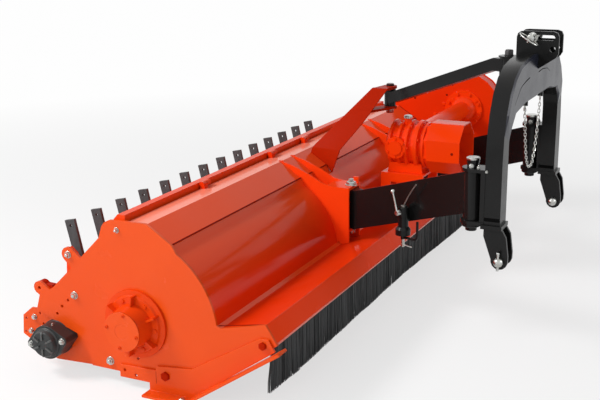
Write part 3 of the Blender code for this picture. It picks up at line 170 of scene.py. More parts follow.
def paint(name, colour, shade, rough, dust, specular=0.5, coat=0.0, peel=0.10, slope_sheen=None, level=None):
    """Powder coat: faint mottling, orange peel, slow waves of the sheet and a trace of dust on top.

    slope_sheen colours the slopes that face up and level the flat top faces: both are painted reflections of
    light from above."""
    n = Nodes(name)
    body = n.mix(n.remap(n.noise(MOTTLE_SCALE, 3.0), 0.30, 0.70), colour, shade)
    # Painted reflection: slopes that face up turn towards slope_sheen.
    if slope_sheen:
        body = n.mix(n.times(n.facing_up(), n.facing_up(0.97, 0.90)), body, slope_sheen)
    # Painted reflection: flat top faces turn towards level.
    if level:
        body = n.mix(n.facing_up(0.990, 0.998), body, level)
    grain = n.remap(n.noise(GRAIN_SCALE, 1.0), 0.35, 0.65, 0.0, 0.10)
    body = n.mix(grain, body, tuple(c * 1.25 for c in colour))
    film = n.times(n.remap(n.noise(DUST_SCALE, 5.0), 0.42, 0.78, 0.0, dust), n.facing_up())
    body = n.mix(film, body, DUST_COLOUR)
    n.link(body, n.main.inputs["Base Color"])
    gloss = n.remap(n.noise(GLOSS_SCALE, 4.0), 0.30, 0.70, rough - 0.05, rough + 0.07)
    n.link(gloss, n.main.inputs["Roughness"])
    waves = n.bump(n.noise(WAVE_SCALE, 1.0), 0.30, 0.004)
    n.link(n.bump(n.noise(PEEL_SCALE, 1.0), peel, 0.0005, waves), n.main.inputs["Normal"])
    n.main.inputs["Specular IOR Level"].default_value = specular
    n.main.inputs["Coat Weight"].default_value = coat
    n.main.inputs["Coat Roughness"].default_value = 0.06
    return n.mat


def metal(name, colour, tint, rough, scale, metallic=1.0, stretch=None):
    """Bare or plated metal with patchy tint, fine specks and uneven roughness."""
    n = Nodes(name)
    body = n.mix(n.remap(n.noise(scale, 4.0, stretch), 0.32, 0.68), colour, tint)
    specks = n.remap(n.noise(scale * 9.0), 0.58, 0.80, 0.0, 0.45)
    body = n.mix(specks, body, tuple(c * 0.55 for c in tint))
    n.link(body, n.main.inputs["Base Color"])
    gloss = n.remap(n.noise(scale * 3.0, 3.0), 0.30, 0.70, rough - 0.07, rough + 0.12)
    n.link(gloss, n.main.inputs["Roughness"])
    n.link(n.bump(n.noise(scale * 14.0), 0.12, 0.0004), n.main.inputs["Normal"])
    n.main.inputs["Metallic"].default_value = metallic
    return n.mat


def bristle_material():
    """Black plastic strands whose shade changes from strand to strand."""
    n = Nodes("bristle_plastic")
    streak = n.remap(n.noise(1.0, 1.0, (900.0, 300.0, 2.0)), 0.30, 0.70)
    body = n.mix(streak, (0.010, 0.011, 0.011), (0.040, 0.042, 0.044))
    n.link(body, n.main.inputs["Base Color"])
    gloss = n.remap(n.noise(1.0, 1.0, (500.0, 200.0, 20.0)), 0.3, 0.7, 0.38, 0.62)
    n.link(gloss, n.main.inputs["Roughness"])
    return n.mat


# Lit and shaded copies of one orange: each copy below paints into its colour the light or shade on the parts
# that wear it.
ORANGE = paint("orange_coat", (0.76, 0.078, 0.006), (0.71, 0.066, 0.005), 0.22, 0.03, specular=0.22)
# Brighter, redder copy for the gearbox, its guard, bolts and beams: painted light.
DEEP_LIT = paint("orange_deep_painted_light", (0.95, 0.050, 0.003), (0.90, 0.042, 0.002), 0.20, 0.03, specular=0.12)
# Brighter copy with almost no gloss for the arm brackets, their welds and the lip: painted light.
BRACKET_LIT = paint("orange_bracket_painted_light", (0.95, 0.058, 0.006), (0.90, 0.050, 0.004), 0.22, 0.03, specular=0.04)
# Roof: a redder copy with painted reflections, paler on the slopes that face up and pale salmon on the flat top
# faces.
ROOF = paint("orange_roof_painted_sheen", (0.84, 0.040, 0.003), (0.78, 0.034, 0.002), 0.13, 0.02, specular=0.12,
             slope_sheen=(0.84, 0.088, 0.016), level=(0.92, 0.24, 0.15))
# Darker, redder copy for the far side plate, belt case, belt cover and gusset: painted shade.
CASE_SHADE = paint("orange_case_painted_shade", (0.84, 0.034, 0.002), (0.78, 0.029, 0.002), 0.20, 0.03, specular=0.08)
# Much darker copy for the strut bracket, the skid bolts and the hood lugs: painted shade.
STRUT_SHADE = paint("orange_strut_painted_shade", (0.43, 0.017, 0.002), (0.39, 0.014, 0.002), 0.26, 0.01, specular=0.01)
# Darker copy for the rotor hub and its bolts: painted shade.
HUB_SHADE = paint("orange_hub_painted_shade", (0.72, 0.056, 0.004), (0.67, 0.048, 0.003), 0.20, 0.03, specular=0.12)
# Redder copy with little gloss for the hood, matched to the light on it.
HOOD = paint("orange_hood_light_matched", (0.84, 0.062, 0.008), (0.79, 0.052, 0.006), 0.18, 0.03, specular=0.06)
# Paler glossy copy for the lip's hem: painted highlight.
HEM_HIGHLIGHT = paint("orange_hem_painted_highlight", (0.84, 0.100, 0.030), (0.80, 0.085, 0.025), 0.24, 0.03, specular=0.50, coat=1.0)
BLACK = paint("black_coat", (0.006, 0.006, 0.006), (0.009, 0.009, 0.009), 0.20, 0.02, specular=0.20)
SKIN_BLACK = paint("black_skin_coat", (0.012, 0.014, 0.026), (0.016, 0.018, 0.032), 0.20, 0.03, specular=0.48)
CAST = paint("cast_black", (0.017, 0.019, 0.019), (0.026, 0.028, 0.028), 0.40, 0.05, specular=0.4, peel=0.45)
# Lighter grey for the ribs of the bearing housings: painted highlight on their tops.
RIB_HIGHLIGHT = paint("cast_rib_painted_highlight", (0.085, 0.088, 0.086), (0.060, 0.062, 0.060), 0.45, 0.05, specular=0.4, peel=0.45)
RUBBER = paint("belt_rubber", (0.018, 0.018, 0.018), (0.026, 0.025, 0.024), 0.62, 0.03, peel=0.40)
# Near-black and dull: painted shadow in the sheet joints of the headstock.
PAINTED_JOINT_SHADOW = paint("joint_shadow", (0.002, 0.002, 0.002), (0.004, 0.004, 0.004), 0.60, 0.0, specular=0.02)
# Dark red and dull: painted shadow in seams, joints and holes.
PAINTED_SEAM_SHADOW = paint("seam_shadow", (0.24, 0.010, 0.003), (0.17, 0.007, 0.002), 0.60, 0.0, specular=0.02)
ZINC = metal("zinc_coat", (0.60, 0.61, 0.60), (0.44, 0.44, 0.40), 0.26, 60.0)
STEEL = metal("machined_steel", (0.36, 0.35, 0.33), (0.22, 0.20, 0.18), 0.38, 24.0)
TINE = metal("tine_bar", (0.072, 0.068, 0.070), (0.050, 0.046, 0.047), 0.46, 30.0, 0.35, (1.0, 1.0, 0.12))
BRISTLE = bristle_material()

# Looks of the imported nodes: by material slot, unless the node wears its own lit or shaded copy of the orange.
LOOKS = {
    "orange_paint": ORANGE, "black_paint": BLACK, "tine_steel": TINE, "zinc_plate": ZINC,
    "bristle_black": BRISTLE, "bare_steel": STEEL, "belt_rubber": RUBBER, "bearing_black": CAST,
}
PAINTED = {
    "roof_casing": ROOF, "hood": HOOD, "near_rotor_hub": HUB_SHADE, "strut_bracket": STRUT_SHADE,
    "near_arm_bracket": BRACKET_LIT, "far_arm_bracket": BRACKET_LIT,
    "gearbox": DEEP_LIT, "gearbox_mount": DEEP_LIT, "shaft_tube": DEEP_LIT, "counter_blade": DEEP_LIT, "rake_beam": DEEP_LIT,
    "far_side_plate": CASE_SHADE, "belt_case": CASE_SHADE, "belt_cover": CASE_SHADE,
}

# Rounded edges.
EDGE_ANGLE = math.radians(33.0)
WELD_GAP = 0.00005
EDGE = 0.0012
TUBE_EDGES = {"near_arm": 0.0034, "far_arm": 0.0034, "upper_strut": 0.0024}


def weld_group():
    """Geometry nodes that join the facets, shade them smooth and keep the corners sharp."""
    group = bpy.data.node_groups.new("weld_facets", "GeometryNodeTree")
    group.interface.new_socket("Geometry", in_out="INPUT", socket_type="NodeSocketGeometry")
    group.interface.new_socket("Geometry", in_out="OUTPUT", socket_type="NodeSocketGeometry")
    inlet = group.nodes.new("NodeGroupInput")
    outlet = group.nodes.new("NodeGroupOutput")
    drop = group.nodes.new("GeometryNodeRemoveAttribute")
    drop.inputs["Name"].default_value = "custom_normal"
    merge = group.nodes.new("GeometryNodeMergeByDistance")
    merge.inputs["Distance"].default_value = WELD_GAP
    smooth = group.nodes.new("GeometryNodeSetShadeSmooth")
    sharp = group.nodes.new("GeometryNodeSetShadeSmooth")
    sharp.domain = "EDGE"
    sharp.inputs["Shade Smooth"].default_value = False
    corner = group.nodes.new("GeometryNodeInputMeshEdgeAngle")
    over = group.nodes.new("FunctionNodeCompare")
    over.operation = "GREATER_THAN"
    over.inputs["B"].default_value = EDGE_ANGLE
    group.links.new(corner.outputs["Unsigned Angle"], over.inputs["A"])
    group.links.new(over.outputs["Result"], sharp.inputs["Selection"])
    chain = (inlet, drop, merge, smooth, sharp, outlet)
    for before, after in zip(chain, chain[1:]):
        group.links.new(before.outputs[0], after.inputs[0])
    return group


WELD = weld_group()


def round_edges(obj, width):
    """Modifiers that leave the mesh as it is and show its edges slightly rounded."""
    weld = obj.modifiers.new("weld", "NODES")
    weld.node_group = WELD
    edge = obj.modifiers.new("edge", "BEVEL")
    edge.width = width
    edge.segments = 2
    edge.limit_method = "ANGLE"
    edge.angle_limit = EDGE_ANGLE
    edge.use_clamp_overlap = True
    shade = obj.modifiers.new("shade", "WEIGHTED_NORMAL")
    shade.weight = 80


for name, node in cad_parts.items():
    for holder in node.material_slots:
        slot_name = holder.material.name.split(".")[0]
        holder.material = PAINTED.get(name, LOOKS.get(slot_name, ORANGE))
    round_edges(node, TUBE_EDGES.get(name, EDGE))


# Mesh helpers.
def new_piece(name, bm, mat, body, angle=38.0):
    """Finished mesh object that rides on a body."""
    bmesh.ops.recalc_face_normals(bm, faces=bm.faces)
    mesh = bpy.data.meshes.new(name)
    bm.to_mesh(mesh)
    bm.free()
    obj = bpy.data.objects.new(name, mesh)
    bpy.context.scene.collection.objects.link(obj)
    mesh.materials.append(mat)
    mesh.shade_smooth()
    mesh.set_sharp_from_angle(angle=math.radians(angle))
    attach(obj, body)
    return obj


def circle(centre, u, v, radius, count, phase=0.0):
    """Points round a centre in the plane of u and v."""
    angles = [2.0 * math.pi * k / count + phase for k in range(count)]
    return [centre + radius * (math.cos(t) * u + math.sin(t) * v) for t in angles]


def skin(bm, rings, capped=True):
    """Faces between rings of vertices, and over both ends."""
    for low, high in zip(rings, rings[1:]):
        for k in range(len(low)):
            j = (k + 1) % len(low)
            bm.faces.new((low[k], low[j], high[j], high[k]))
    if capped:
        bm.faces.new(rings[0])
        bm.faces.new(rings[-1])


def turn(bm, origin, axis, profile, sides, phase=0.0):
    """Turned solid from (distance, radius) points along an axis, capped at both ends."""
    axis = axis.normalized()
    u = axis.orthogonal().normalized()
    v = axis.cross(u).normalized()
    rings = []
    for distance, radius in profile:
        points = circle(origin + axis * distance, u, v, radius, sides, phase)
        rings.append([bm.verts.new(p) for p in points])
    skin(bm, rings)


def sweep(bm, points, radii, sides=8, closed=False):
    """Round bar along a path; radii is one number or one for each point."""
    if not isinstance(radii, (list, tuple)):
        radii = [radii] * len(points)
    count = len(points)
    u = None
    rings = []
    for i, p in enumerate(points):
        ahead = points[(i + 1) % count] if closed else points[min(i + 1, count - 1)]
        behind = points[(i - 1) % count] if closed else points[max(i - 1, 0)]
        tangent = (ahead - behind).normalized()
        if u is None:
            u = tangent.orthogonal().normalized()
        u = (u - tangent * u.dot(tangent)).normalized()
        rings.append([bm.verts.new(q) for q in circle(p, u, tangent.cross(u), radii[i], sides)])
    if closed:
        first, last = rings[0], rings[-1]
        shift = min(range(sides), key=lambda s: (first[s].co - last[0].co).length)
        rings.append(first[shift:] + first[:shift])
    skin(bm, rings, capped=not closed)


def slab(bm, outline, push):
    """Flat plate: an outline of points and the vector of its thickness."""
    skin(bm, [[bm.verts.new(p) for p in outline], [bm.verts.new(p + push) for p in outline]])


def plate(bm, x, outline, thick):
    """Plate square to x from an outline of (f, z) points; a negative thickness goes to the near side."""
    slab(bm, [at(x, f, z) for f, z in outline], X * thick)


def hull(points):
    """Convex outline round a set of plane points."""
    ends = []
    for line in (sorted(points), sorted(points, reverse=True)):
        chain = []
        for p in line:
            while len(chain) > 1:
                (ax, ay), (bx, by) = chain[-2], chain[-1]
                if (bx - ax) * (p[1] - ay) - (by - ay) * (p[0] - ax) > 1e-12:
                    break
                chain.pop()
            chain.append(p)
        ends += chain[:-1]
    return ends


def washer(bm, origin, axis, radius, thick):
    lip = min(0.0006, thick * 0.3)
    turn(bm, origin, axis, [(-0.0006, radius), (thick - lip, radius), (thick, radius - lip)], 20)


def hexagon(bm, origin, axis, radius, height):
    """Hexagon head or nut with a chamfer at its free end."""
    turn(bm, origin, axis, [(0.0, radius), (height * 0.80, radius), (height, radius * 0.84)], 6, 0.3)


THREAD_PITCH = 0.0016


def stud(bm, origin, axis, radius, length):
    """Threaded end: ridges at the thread's pitch and a pointed tip."""
    profile = []
    turns = max(2, int(length / THREAD_PITCH))
    for k in range(turns):
        profile.append((k * length / turns, radius * 0.90))
        profile.append(((k + 0.5) * length / turns, radius))
    profile.append((length, radius * 0.78))
    turn(bm, origin, axis, profile, 12)


def bolt(bm, origin, axis, radius, washer_r=None, height=None, end=0.0, washer_t=0.0022):
    """Washer, hexagon and, if end is given, the threaded end that stands out of a nut."""
    axis = axis.normalized()
    height = height or radius * 0.75
    washer(bm, origin, axis, washer_r or radius * 1.16, washer_t)
    hexagon(bm, origin + axis * washer_t, axis, radius, height)
    if end > 0.0:
        stud(bm, origin + axis * (washer_t + height - 0.0008), axis, radius * 0.52, end)


BEAD_PITCH = 0.006


def bead(bm, points, radius, seed):
    """Weld bead: a low rope of ripples along a joint."""
    rand = random.Random(seed)
    path = []
    for a, b in zip(points, points[1:]):
        steps = max(1, round((b - a).length / (BEAD_PITCH / 2.0)))
        path += [a.lerp(b, k / steps) for k in range(steps)]
    path.append(points[-1])
    radii = [radius * (1.0 if k % 2 else 0.80) * rand.uniform(0.92, 1.06) for k in range(len(path))]
    sweep(bm, path, radii, 6)


# Side plates and skids: bolts as (f, z, radius), the sole bolts, and the joint in the skid's web.
LOW_BOLT = (0.240, 0.081)
PLATE_BOLTS = [(0.088, 0.447, 0.0112), (0.297, 0.560, 0.0085)]
PLATE_BOLTS += [(*polar(*LOW_BOLT, 0.2585, 121.7), 0.0122), (*LOW_BOLT, 0.0132)]
SOLE_BOLT_X = 0.0365
SOLE_BOLT_F = 0.548
SKID_FACE = 0.0084
SKID_JOINT = [(0.4305, 0.0800), (0.4318, 0.0800), (0.4318, 0.0360), (0.4305, 0.0360)]
for side, face, out in (("near", 0.0, -1.0), ("far", WIDTH, 1.0)):
    bm = bmesh.new()
    for f, z, radius in PLATE_BOLTS:
        bolt(bm, at(face, f, z), X * out, radius, height=radius * 0.60, end=0.006)
    new_piece(side + "_plate_bolts", bm, ZINC, "chassis")
    bm = bmesh.new()
    head = [(0.006, 0.0125), (0.0125, 0.0125), (0.0175, 0.0070)]
    turn(bm, at(face + out * SOLE_BOLT_X, SOLE_BOLT_F, 0.0), Z, head, 16)
    new_piece(side + "_sole_bolt", bm, ZINC, "chassis")
    # Skid bolts in the shaded strut copy of the orange: painted shade.
    bm = bmesh.new()
    hexagon(bm, at(face + out * SKID_FACE, 0.4700, 0.0705), X * out, 0.0165, 0.0100)
    hexagon(bm, at(face + out * SKID_FACE, 0.8420, 0.2460), X * out, 0.0135, 0.0095)
    new_piece(side + "_skid_bolts", bm, STRUT_SHADE, "chassis")
    # A thin dark strip on the skid's web: painted shadow of its joint.
    bm = bmesh.new()
    plate(bm, face + out * (SKID_FACE - 0.0001), SKID_JOINT, out * 0.0006)
    new_piece(side + "_skid_joint", bm, PAINTED_SEAM_SHADOW, "chassis")

# Roller frame: bolts of the scraper ends and of the bearing housings, grease nipples and cast housings.
ROLLER_FACE = 0.011
SCRAPER_BOLTS = ((-0.090, 0.186), (-0.108, 0.130))
LOBE_R = 0.0700
LOBE_ANGLES = (13.0, 193.0)
LOBE_DEPTH = 0.0668
NIPPLE_ANGLE = 78.0
NIPPLE_DEPTH = 0.046
NIPPLE = [(0.0, 0.0042), (0.006, 0.0042), (0.007, 0.0028), (0.011, 0.0032), (0.013, 0.0018)]
CASTING = [(-0.0002, 0.0640), (0.0120, 0.0640), (0.0160, 0.0610), (0.0630, 0.0560), (0.0690, 0.0540)]
CASTING += [(0.0720, 0.0490), (0.0860, 0.0465), (0.0900, 0.0430), (0.0900, 0.0240), (0.0885, 0.0220)]
RIB = [(0.0170, 0.0870), (0.0170, 0.0945), (0.0400, 0.0945), (0.0460, 0.0900), (0.0460, 0.0700)]
RIB_T = 0.0068
for side, face, out in (("near", ROLLER_FACE, -1.0), ("far", WIDTH - ROLLER_FACE, 1.0)):
    bm = bmesh.new()
    for f, z in SCRAPER_BOLTS:
        bolt(bm, at(face, f, z), X * out, 0.0092, height=0.0068, end=0.003)
    for angle in LOBE_ANGLES:
        f, z = polar(*ROLLER, LOBE_R, angle)
        bolt(bm, at(face + out * LOBE_DEPTH, f, z), X * out, 0.0098, washer_r=0.0112, height=0.0075, end=0.004)
    new_piece(side + "_roller_bolts", bm, ZINC, "roller_frame")
    bm = bmesh.new()
    base = at(face + out * NIPPLE_DEPTH, *polar(*ROLLER, 0.0560, NIPPLE_ANGLE))
    tip = at(face + out * NIPPLE_DEPTH, *polar(*ROLLER, LOBE_R, NIPPLE_ANGLE))
    turn(bm, base, (tip - base).normalized(), NIPPLE, 10)
    new_piece(side + "_bearing_nipple", bm, ZINC, "roller_frame")
    bm = bmesh.new()
    turn(bm, at(face, *ROLLER), X * out, CASTING, 40)
    rim = [polar(*ROLLER, 0.0615, a) for a in range(0, 360, 9)]
    for angle in LOBE_ANGLES:
        rim += [polar(*polar(*ROLLER, LOBE_R, angle), 0.0170, a) for a in range(0, 360, 15)]
    plate(bm, face - out * 0.0002, hull(rim), out * 0.0665)
    housing = new_piece(side + "_bearing_housing", bm, CAST, "roller_frame", angle=30.0)
    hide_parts(side + "_roller_bearing")
    round_edges(housing, 0.0016)
    # Ribs on the housing's face, in a lighter grey that paints their highlight.
    bm = bmesh.new()
    for angle in range(30, 390, 60):
        across = at(0.0, *polar(0.0, 0.0, 1.0, angle + 90.0)) - at(0.0, 0.0, 0.0)
        flank = [at(face + out * d, *polar(*ROLLER, r, angle)) for r, d in RIB]
        slab(bm, [p - across * (RIB_T / 2.0) for p in flank], across * RIB_T)
    ribs = new_piece(side + "_bearing_ribs", bm, RIB_HIGHLIGHT, "roller_frame", angle=30.0)
    round_edges(ribs, EDGE)

# Rotor hub: flange bolts between the webs and cap screws in the hub's shaded copy of the orange, bearing cover,
# and a dark ring round it that paints the shadow in its joint.
CAP_SCREW = [(0.0, 0.0062), (0.0034, 0.0062), (0.0040, 0.0054), (0.0040, 0.0030), (0.0014, 0.0028)]
COVER = [(0.0, 0.0690), (0.0030, 0.0690), (0.0036, 0.0683), (0.0036, 0.0270), (0.0028, 0.0262)]
bm = bmesh.new()
for k in range(6):
    f, z = polar(*ROTOR, 0.0885, 55.0 + 60.0 * k)
    hexagon(bm, at(-0.0195, f, z), -X, 0.0085, 0.0065)
for k in range(4):
    f, z = polar(*ROTOR, 0.0590, 80.0 + 90.0 * k)
    turn(bm, at(-0.0882, f, z), -X, CAP_SCREW, 14)
new_piece("hub_bolts", bm, HUB_SHADE, "chassis")
bm = bmesh.new()
turn(bm, at(-0.0850, *ROTOR), -X, COVER, 44)
new_piece("hub_cover", bm, ORANGE, "chassis")
bm = bmesh.new()
ring = [at(-0.0846, *polar(*ROTOR, 0.0686, 10.0 * k)) for k in range(36)]
sweep(bm, ring, 0.0008, 5, closed=True)
new_piece("hub_cover_joint", bm, PAINTED_SEAM_SHADOW, "chassis")

# Front brush: three rows of strands in a pressed channel. TRIM gives the height of its lower edge by x.
TRIM = [(-0.02, 0.0880), (0.23, 0.0815), (0.73, 0.0920), (1.20, 0.0915), (2.05, 0.0730), (2.45, 0.0720)]
CHANNEL = [(0.8585, 0.234), (0.8690, 0.234), (0.8690, 0.262), (0.8585, 0.262)]
BRUSH_END = 0.0118
BRUSH_GAP = 0.0040
STRAND_PITCH = 0.0026
STRAND_R = 0.00125
STRAND_TOP = 0.236
ROW_F = 0.8610
ROW_PITCH = 0.0027
FAN = -0.025
FAN_LENGTH = 0.15


def trim(x):
    """Height of the brush's lower edge."""
    for (x0, z0), (x1, z1) in zip(TRIM, TRIM[1:]):
        if x <= x1:
            return z0 + (z1 - z0) * (x - x0) / (x1 - x0)
    return TRIM[-1][1]


def brush_piece(name, x0, x1, node, seed):
    """Strip of the brush; its strands lean and bow in slow waves, and fan out at the near end."""
    rand = random.Random(seed)
    bm = bmesh.new()
    plate(bm, x0, CHANNEL, x1 - x0)
    count = int((x1 - x0 - 0.002) / STRAND_PITCH)
    phases = [rand.uniform(0.0, 6.28) for _ in range(6)]
    for row in range(3):
        for k in range(count):
            x = x0 + 0.0015 + STRAND_PITCH * (k + 0.5 + 0.33 * (row - 1)) + rand.uniform(-0.0007, 0.0007)
            x = min(max(x, x0 + 0.001), x1 - 0.001)
            lean = 0.0014 * math.sin(9.0 * x + phases[0]) + 0.0009 * math.sin(31.0 * x + phases[1])
            lean += rand.gauss(0.0, 0.0009)
            bow = 0.0020 * math.sin(5.0 * x + phases[2]) + 0.0010 * math.sin(23.0 * x + phases[3])
            bow += rand.gauss(0.0, 0.0008) + 0.0010 * (row - 1)
            foot = trim(x) + 0.0005 * math.sin(13.0 * x + phases[4]) + rand.uniform(-0.0008, 0.0008)
            fan = FAN * max(0.0, 1.0 - (x - BRUSH_END) / FAN_LENGTH) ** 2
            radius = STRAND_R * rand.uniform(0.85, 1.15)
            start = rand.uniform(0.0, 2.0)
            rings = []
            for t in (0.0, 0.4, 0.75, 1.0):
                spread = fan * min(max((t - 0.2) / 0.4, 0.0), 1.0)
                f = ROW_F + ROW_PITCH * row + bow * t * t
                centre = at(x + lean * t * t + spread, f, STRAND_TOP + (foot - STRAND_TOP) * t)
                points = circle(centre, X, F, radius * (1.0 - 0.25 * t), 3, start)
                rings.append([bm.verts.new(p) for p in points])
            skin(bm, rings)
    obj = new_piece(name, bm, BRISTLE, "chassis", angle=70.0)
    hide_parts(node)


joint_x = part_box("brush_short_strip")[1][0] + CENTRE_X
brush_piece("short_brush", BRUSH_END, joint_x, "brush_short_strip", 11)
brush_piece("long_brush", joint_x + BRUSH_GAP, WIDTH - BRUSH_END, "brush_long_strip", 12)

# Safety chain: oval links threaded along the hanging line, with a shackle ring at each eye.
CHAIN_F = 1.395
CHAIN_A = (HEAD_X - 0.118, 0.886)
CHAIN_B = (HEAD_X + 0.128, 0.884)
CHAIN_DROP = 0.246
CHAIN_SHAPE = 2.6
EYE_GAP = 0.012
LINK_PITCH = 0.0126
LINK_WIRE = 0.0015
LINK_HALF = 0.0042


def chain_point(t):
    sag = CHAIN_DROP * (1.0 - abs(2.0 * t - 1.0) ** CHAIN_SHAPE)
    x = CHAIN_A[0] + (CHAIN_B[0] - CHAIN_A[0]) * t
    return at(x, CHAIN_F, CHAIN_A[1] + (CHAIN_B[1] - CHAIN_A[1]) * t - EYE_GAP - sag)


def link_ring(bm, a, b, flat):
    """One oval link from a to b; flat is the direction square to the link's plane."""
    middle = (a + b) / 2.0
    ahead = (b - a).normalized()
    side = ahead.cross(flat).normalized()
    straight = max((b - a).length / 2.0 + LINK_WIRE * 0.9 - LINK_HALF, 0.0)
    ring = []
    for k in range(14):
        t = 2.0 * math.pi * k / 14.0
        shift = straight if math.cos(t) >= 0.0 else -straight
        ring.append(middle + ahead * (shift + LINK_HALF * math.cos(t)) + side * (LINK_HALF * math.sin(t)))
    sweep(bm, ring, LINK_WIRE, 6, closed=True)


samples = [chain_point(k / 400.0) for k in range(401)]
places = [samples[0]]
run = 0.0
for p, q in zip(samples, samples[1:]):
    run += (q - p).length
    if run >= LINK_PITCH:
        places.append(q)
        run -= LINK_PITCH
bm = bmesh.new()
for k, (a, b) in enumerate(zip(places, places[1:])):
    link_ring(bm, a, b, F if k % 2 else (b - a).normalized().cross(F))
for x, z in (CHAIN_A, CHAIN_B):
    angles = [2.0 * math.pi * k / 16.0 for k in range(16)]
    ring = [at(x + 0.0105 * math.cos(t), CHAIN_F, z - 0.0075 + 0.0125 * math.sin(t)) for t in angles]
    sweep(bm, ring, 0.0020, 6, closed=True)
chain = new_piece("chain_links", bm, ZINC, "hitch_head", angle=60.0)
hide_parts("safety_chain")

# Nuts above and below the pivot pins of the swing arms.
for side, px in zip(("near", "far"), ARM_XS):
    bm = bmesh.new()
    washer(bm, at(px, ARM_F, 0.508), Z, 0.0245, 0.0030)
    hexagon(bm, at(px, ARM_F, 0.5110), Z, 0.0205, 0.0120)
    stud(bm, at(px, ARM_F, 0.5220), Z, 0.0108, 0.0115)
    washer(bm, at(px, ARM_F, 0.3225), -Z, 0.0215, 0.0025)
    hexagon(bm, at(px, ARM_F, 0.3200), -Z, 0.0195, 0.0150)
    new_piece(side + "_pivot_nuts", bm, ZINC, "chassis")

# Upper strut: nut under its casing pin and cap over it.
bm = bmesh.new()
washer(bm, at(DRIVE_X, ARM_F, 0.7500), -Z, 0.0205, 0.0025)
hexagon(bm, at(DRIVE_X, ARM_F, 0.7475), -Z, 0.0180, 0.0165)
new_piece("strut_nut", bm, ZINC, "chassis")
bm = bmesh.new()
turn(bm, at(DRIVE_X, ARM_F, 0.8480), Z, [(0.0, 0.0170), (0.008, 0.0170), (0.0112, 0.0140)], 20)
new_piece("strut_pin_cap", bm, BLACK, "chassis")

# Headstock pivots: plated cap with its bolts, bolt through the leg, and low collar.
PIVOT_CAP = [(0.7395, 0.0235), (0.7405, 0.0242), (0.7455, 0.0242), (0.7478, 0.0215)]
PIVOT_COLLAR = [(0.4990, 0.0260), (0.4990, 0.0310), (0.5010, 0.0332), (0.5122, 0.0332)]
for side, px, out in (("near", ARM_XS[0], -1.0), ("far", ARM_XS[1], 1.0)):
    centre = along(px, SPAN, 0.0, 0.0)
    bm = bmesh.new()
    turn(bm, centre, Z, PIVOT_CAP, 32)
    bolt(bm, centre + Z * 0.7185 - X * 0.0200, -X, 0.0078, height=0.0052)
    leg = at(HEAD_X + out * (LEG_X - 0.0005), 1.3560, 0.7070)
    bolt(bm, leg, X * out, 0.0046, height=0.0042, washer_t=0.0012)
    bolt(bm, centre + X * out * 0.024 + F * 0.026 + Z * 0.7125, Z, 0.0056, height=0.0060, end=0.006)
    new_piece(side + "_head_cap", bm, ZINC, "hitch_head")
    bm = bmesh.new()
    turn(bm, centre, Z, PIVOT_COLLAR, 32)
    new_piece(side + "_head_collar", bm, BLACK, "hitch_head")

# Headstock front: one flush skin over the beam, running out on the legs. Points are (x from the middle, z, f).
SKIN_F = 1.4168
SKIN_END_F = 1.4101
SKIN_BACK_F = 1.4094
SKIN_INSET = 0.0075
SKIN_TOP = [(-0.459, 0.830, SKIN_END_F), (-0.438, 0.902, SKIN_F), (-0.401, 0.966, SKIN_F)]
SKIN_TOP += [(-0.350, 1.014, SKIN_F), (-0.280, 1.046, SKIN_F), (-0.190, 1.060, SKIN_F), (-0.060, 1.066, SKIN_F)]
SKIN_LOW = [(-0.392, 0.800, SKIN_END_F), (-0.380, 0.846, SKIN_F), (-0.332, 0.886, SKIN_F)]
SKIN_LOW += [(-0.180, 0.903, SKIN_F)]
outline = SKIN_TOP + [(-x, z, f) for x, z, f in reversed(SKIN_TOP)]
outline += [(-x, z, f) for x, z, f in SKIN_LOW] + list(reversed(SKIN_LOW))
bm = bmesh.new()
front, back = [], []
for k, (x, z, f) in enumerate(outline):
    last, following = outline[k - 1], outline[(k + 1) % len(outline)]
    before = Vector((x - last[0], z - last[1])).normalized()
    after = Vector((following[0] - x, following[1] - z)).normalized()
    inward = Vector((before.y + after.y, -before.x - after.x)).normalized() * SKIN_INSET
    front.append(bm.verts.new(at(HEAD_X + x + inward.x, f, z + inward.y)))
    back.append(bm.verts.new(at(HEAD_X + x, SKIN_BACK_F, z)))
skin(bm, [front, back], capped=False)
top = 2 * len(SKIN_TOP)
for ring in (front, back):
    bm.faces.new((ring[0], ring[1], ring[top + 6], ring[top + 7]))
    bm.faces.new((ring[top - 2], ring[top - 1], ring[top], ring[top + 1]))
    bm.faces.new(ring[1:top - 1] + ring[top + 1:top + 7])
front_skin = new_piece("head_skin", bm, SKIN_BLACK, "hitch_head", angle=20.0)
round_edges(front_skin, EDGE)

# Sheet joints of the headstock, in painted shadow: two tapering near-black ropes, mostly sunk in the skin, for
# its grooves, and thin near-black sheets on both sides of each leg.
NEAR_GROOVE = [(0.9964, 0.9917), (0.940, 0.9859), (0.8966, 0.9786), (0.8703, 0.9717)]
NEAR_GROOVE += [(0.8362, 0.950), (0.7982, 0.924)]
FAR_GROOVE = [(1.1403, 0.9944), (1.2027, 0.9976), (1.2828, 0.990), (1.3343, 0.9713)]
LEG_JOINT = [(1.3440, 0.5310), (1.4080, 0.5310), (1.4080, 0.5440), (1.3440, 0.5440)]
LEG_INNER_X = 0.392
bm = bmesh.new()
for line in (NEAR_GROOVE, FAR_GROOVE):
    thick = [0.0030 - 0.0021 * k / (len(line) - 1) for k in range(len(line))]
    sweep(bm, [at(x, SKIN_F - r * 0.6, z) for (x, z), r in zip(line, thick)], thick, 8)
for offset, out in ((-LEG_X, -1.0), (LEG_INNER_X, -1.0), (LEG_X, 1.0), (-LEG_INNER_X, 1.0)):
    plate(bm, HEAD_X + offset - out * 0.0002, LEG_JOINT, out * 0.0007)
new_piece("head_joints", bm, PAINTED_JOINT_SHADOW, "hitch_head")

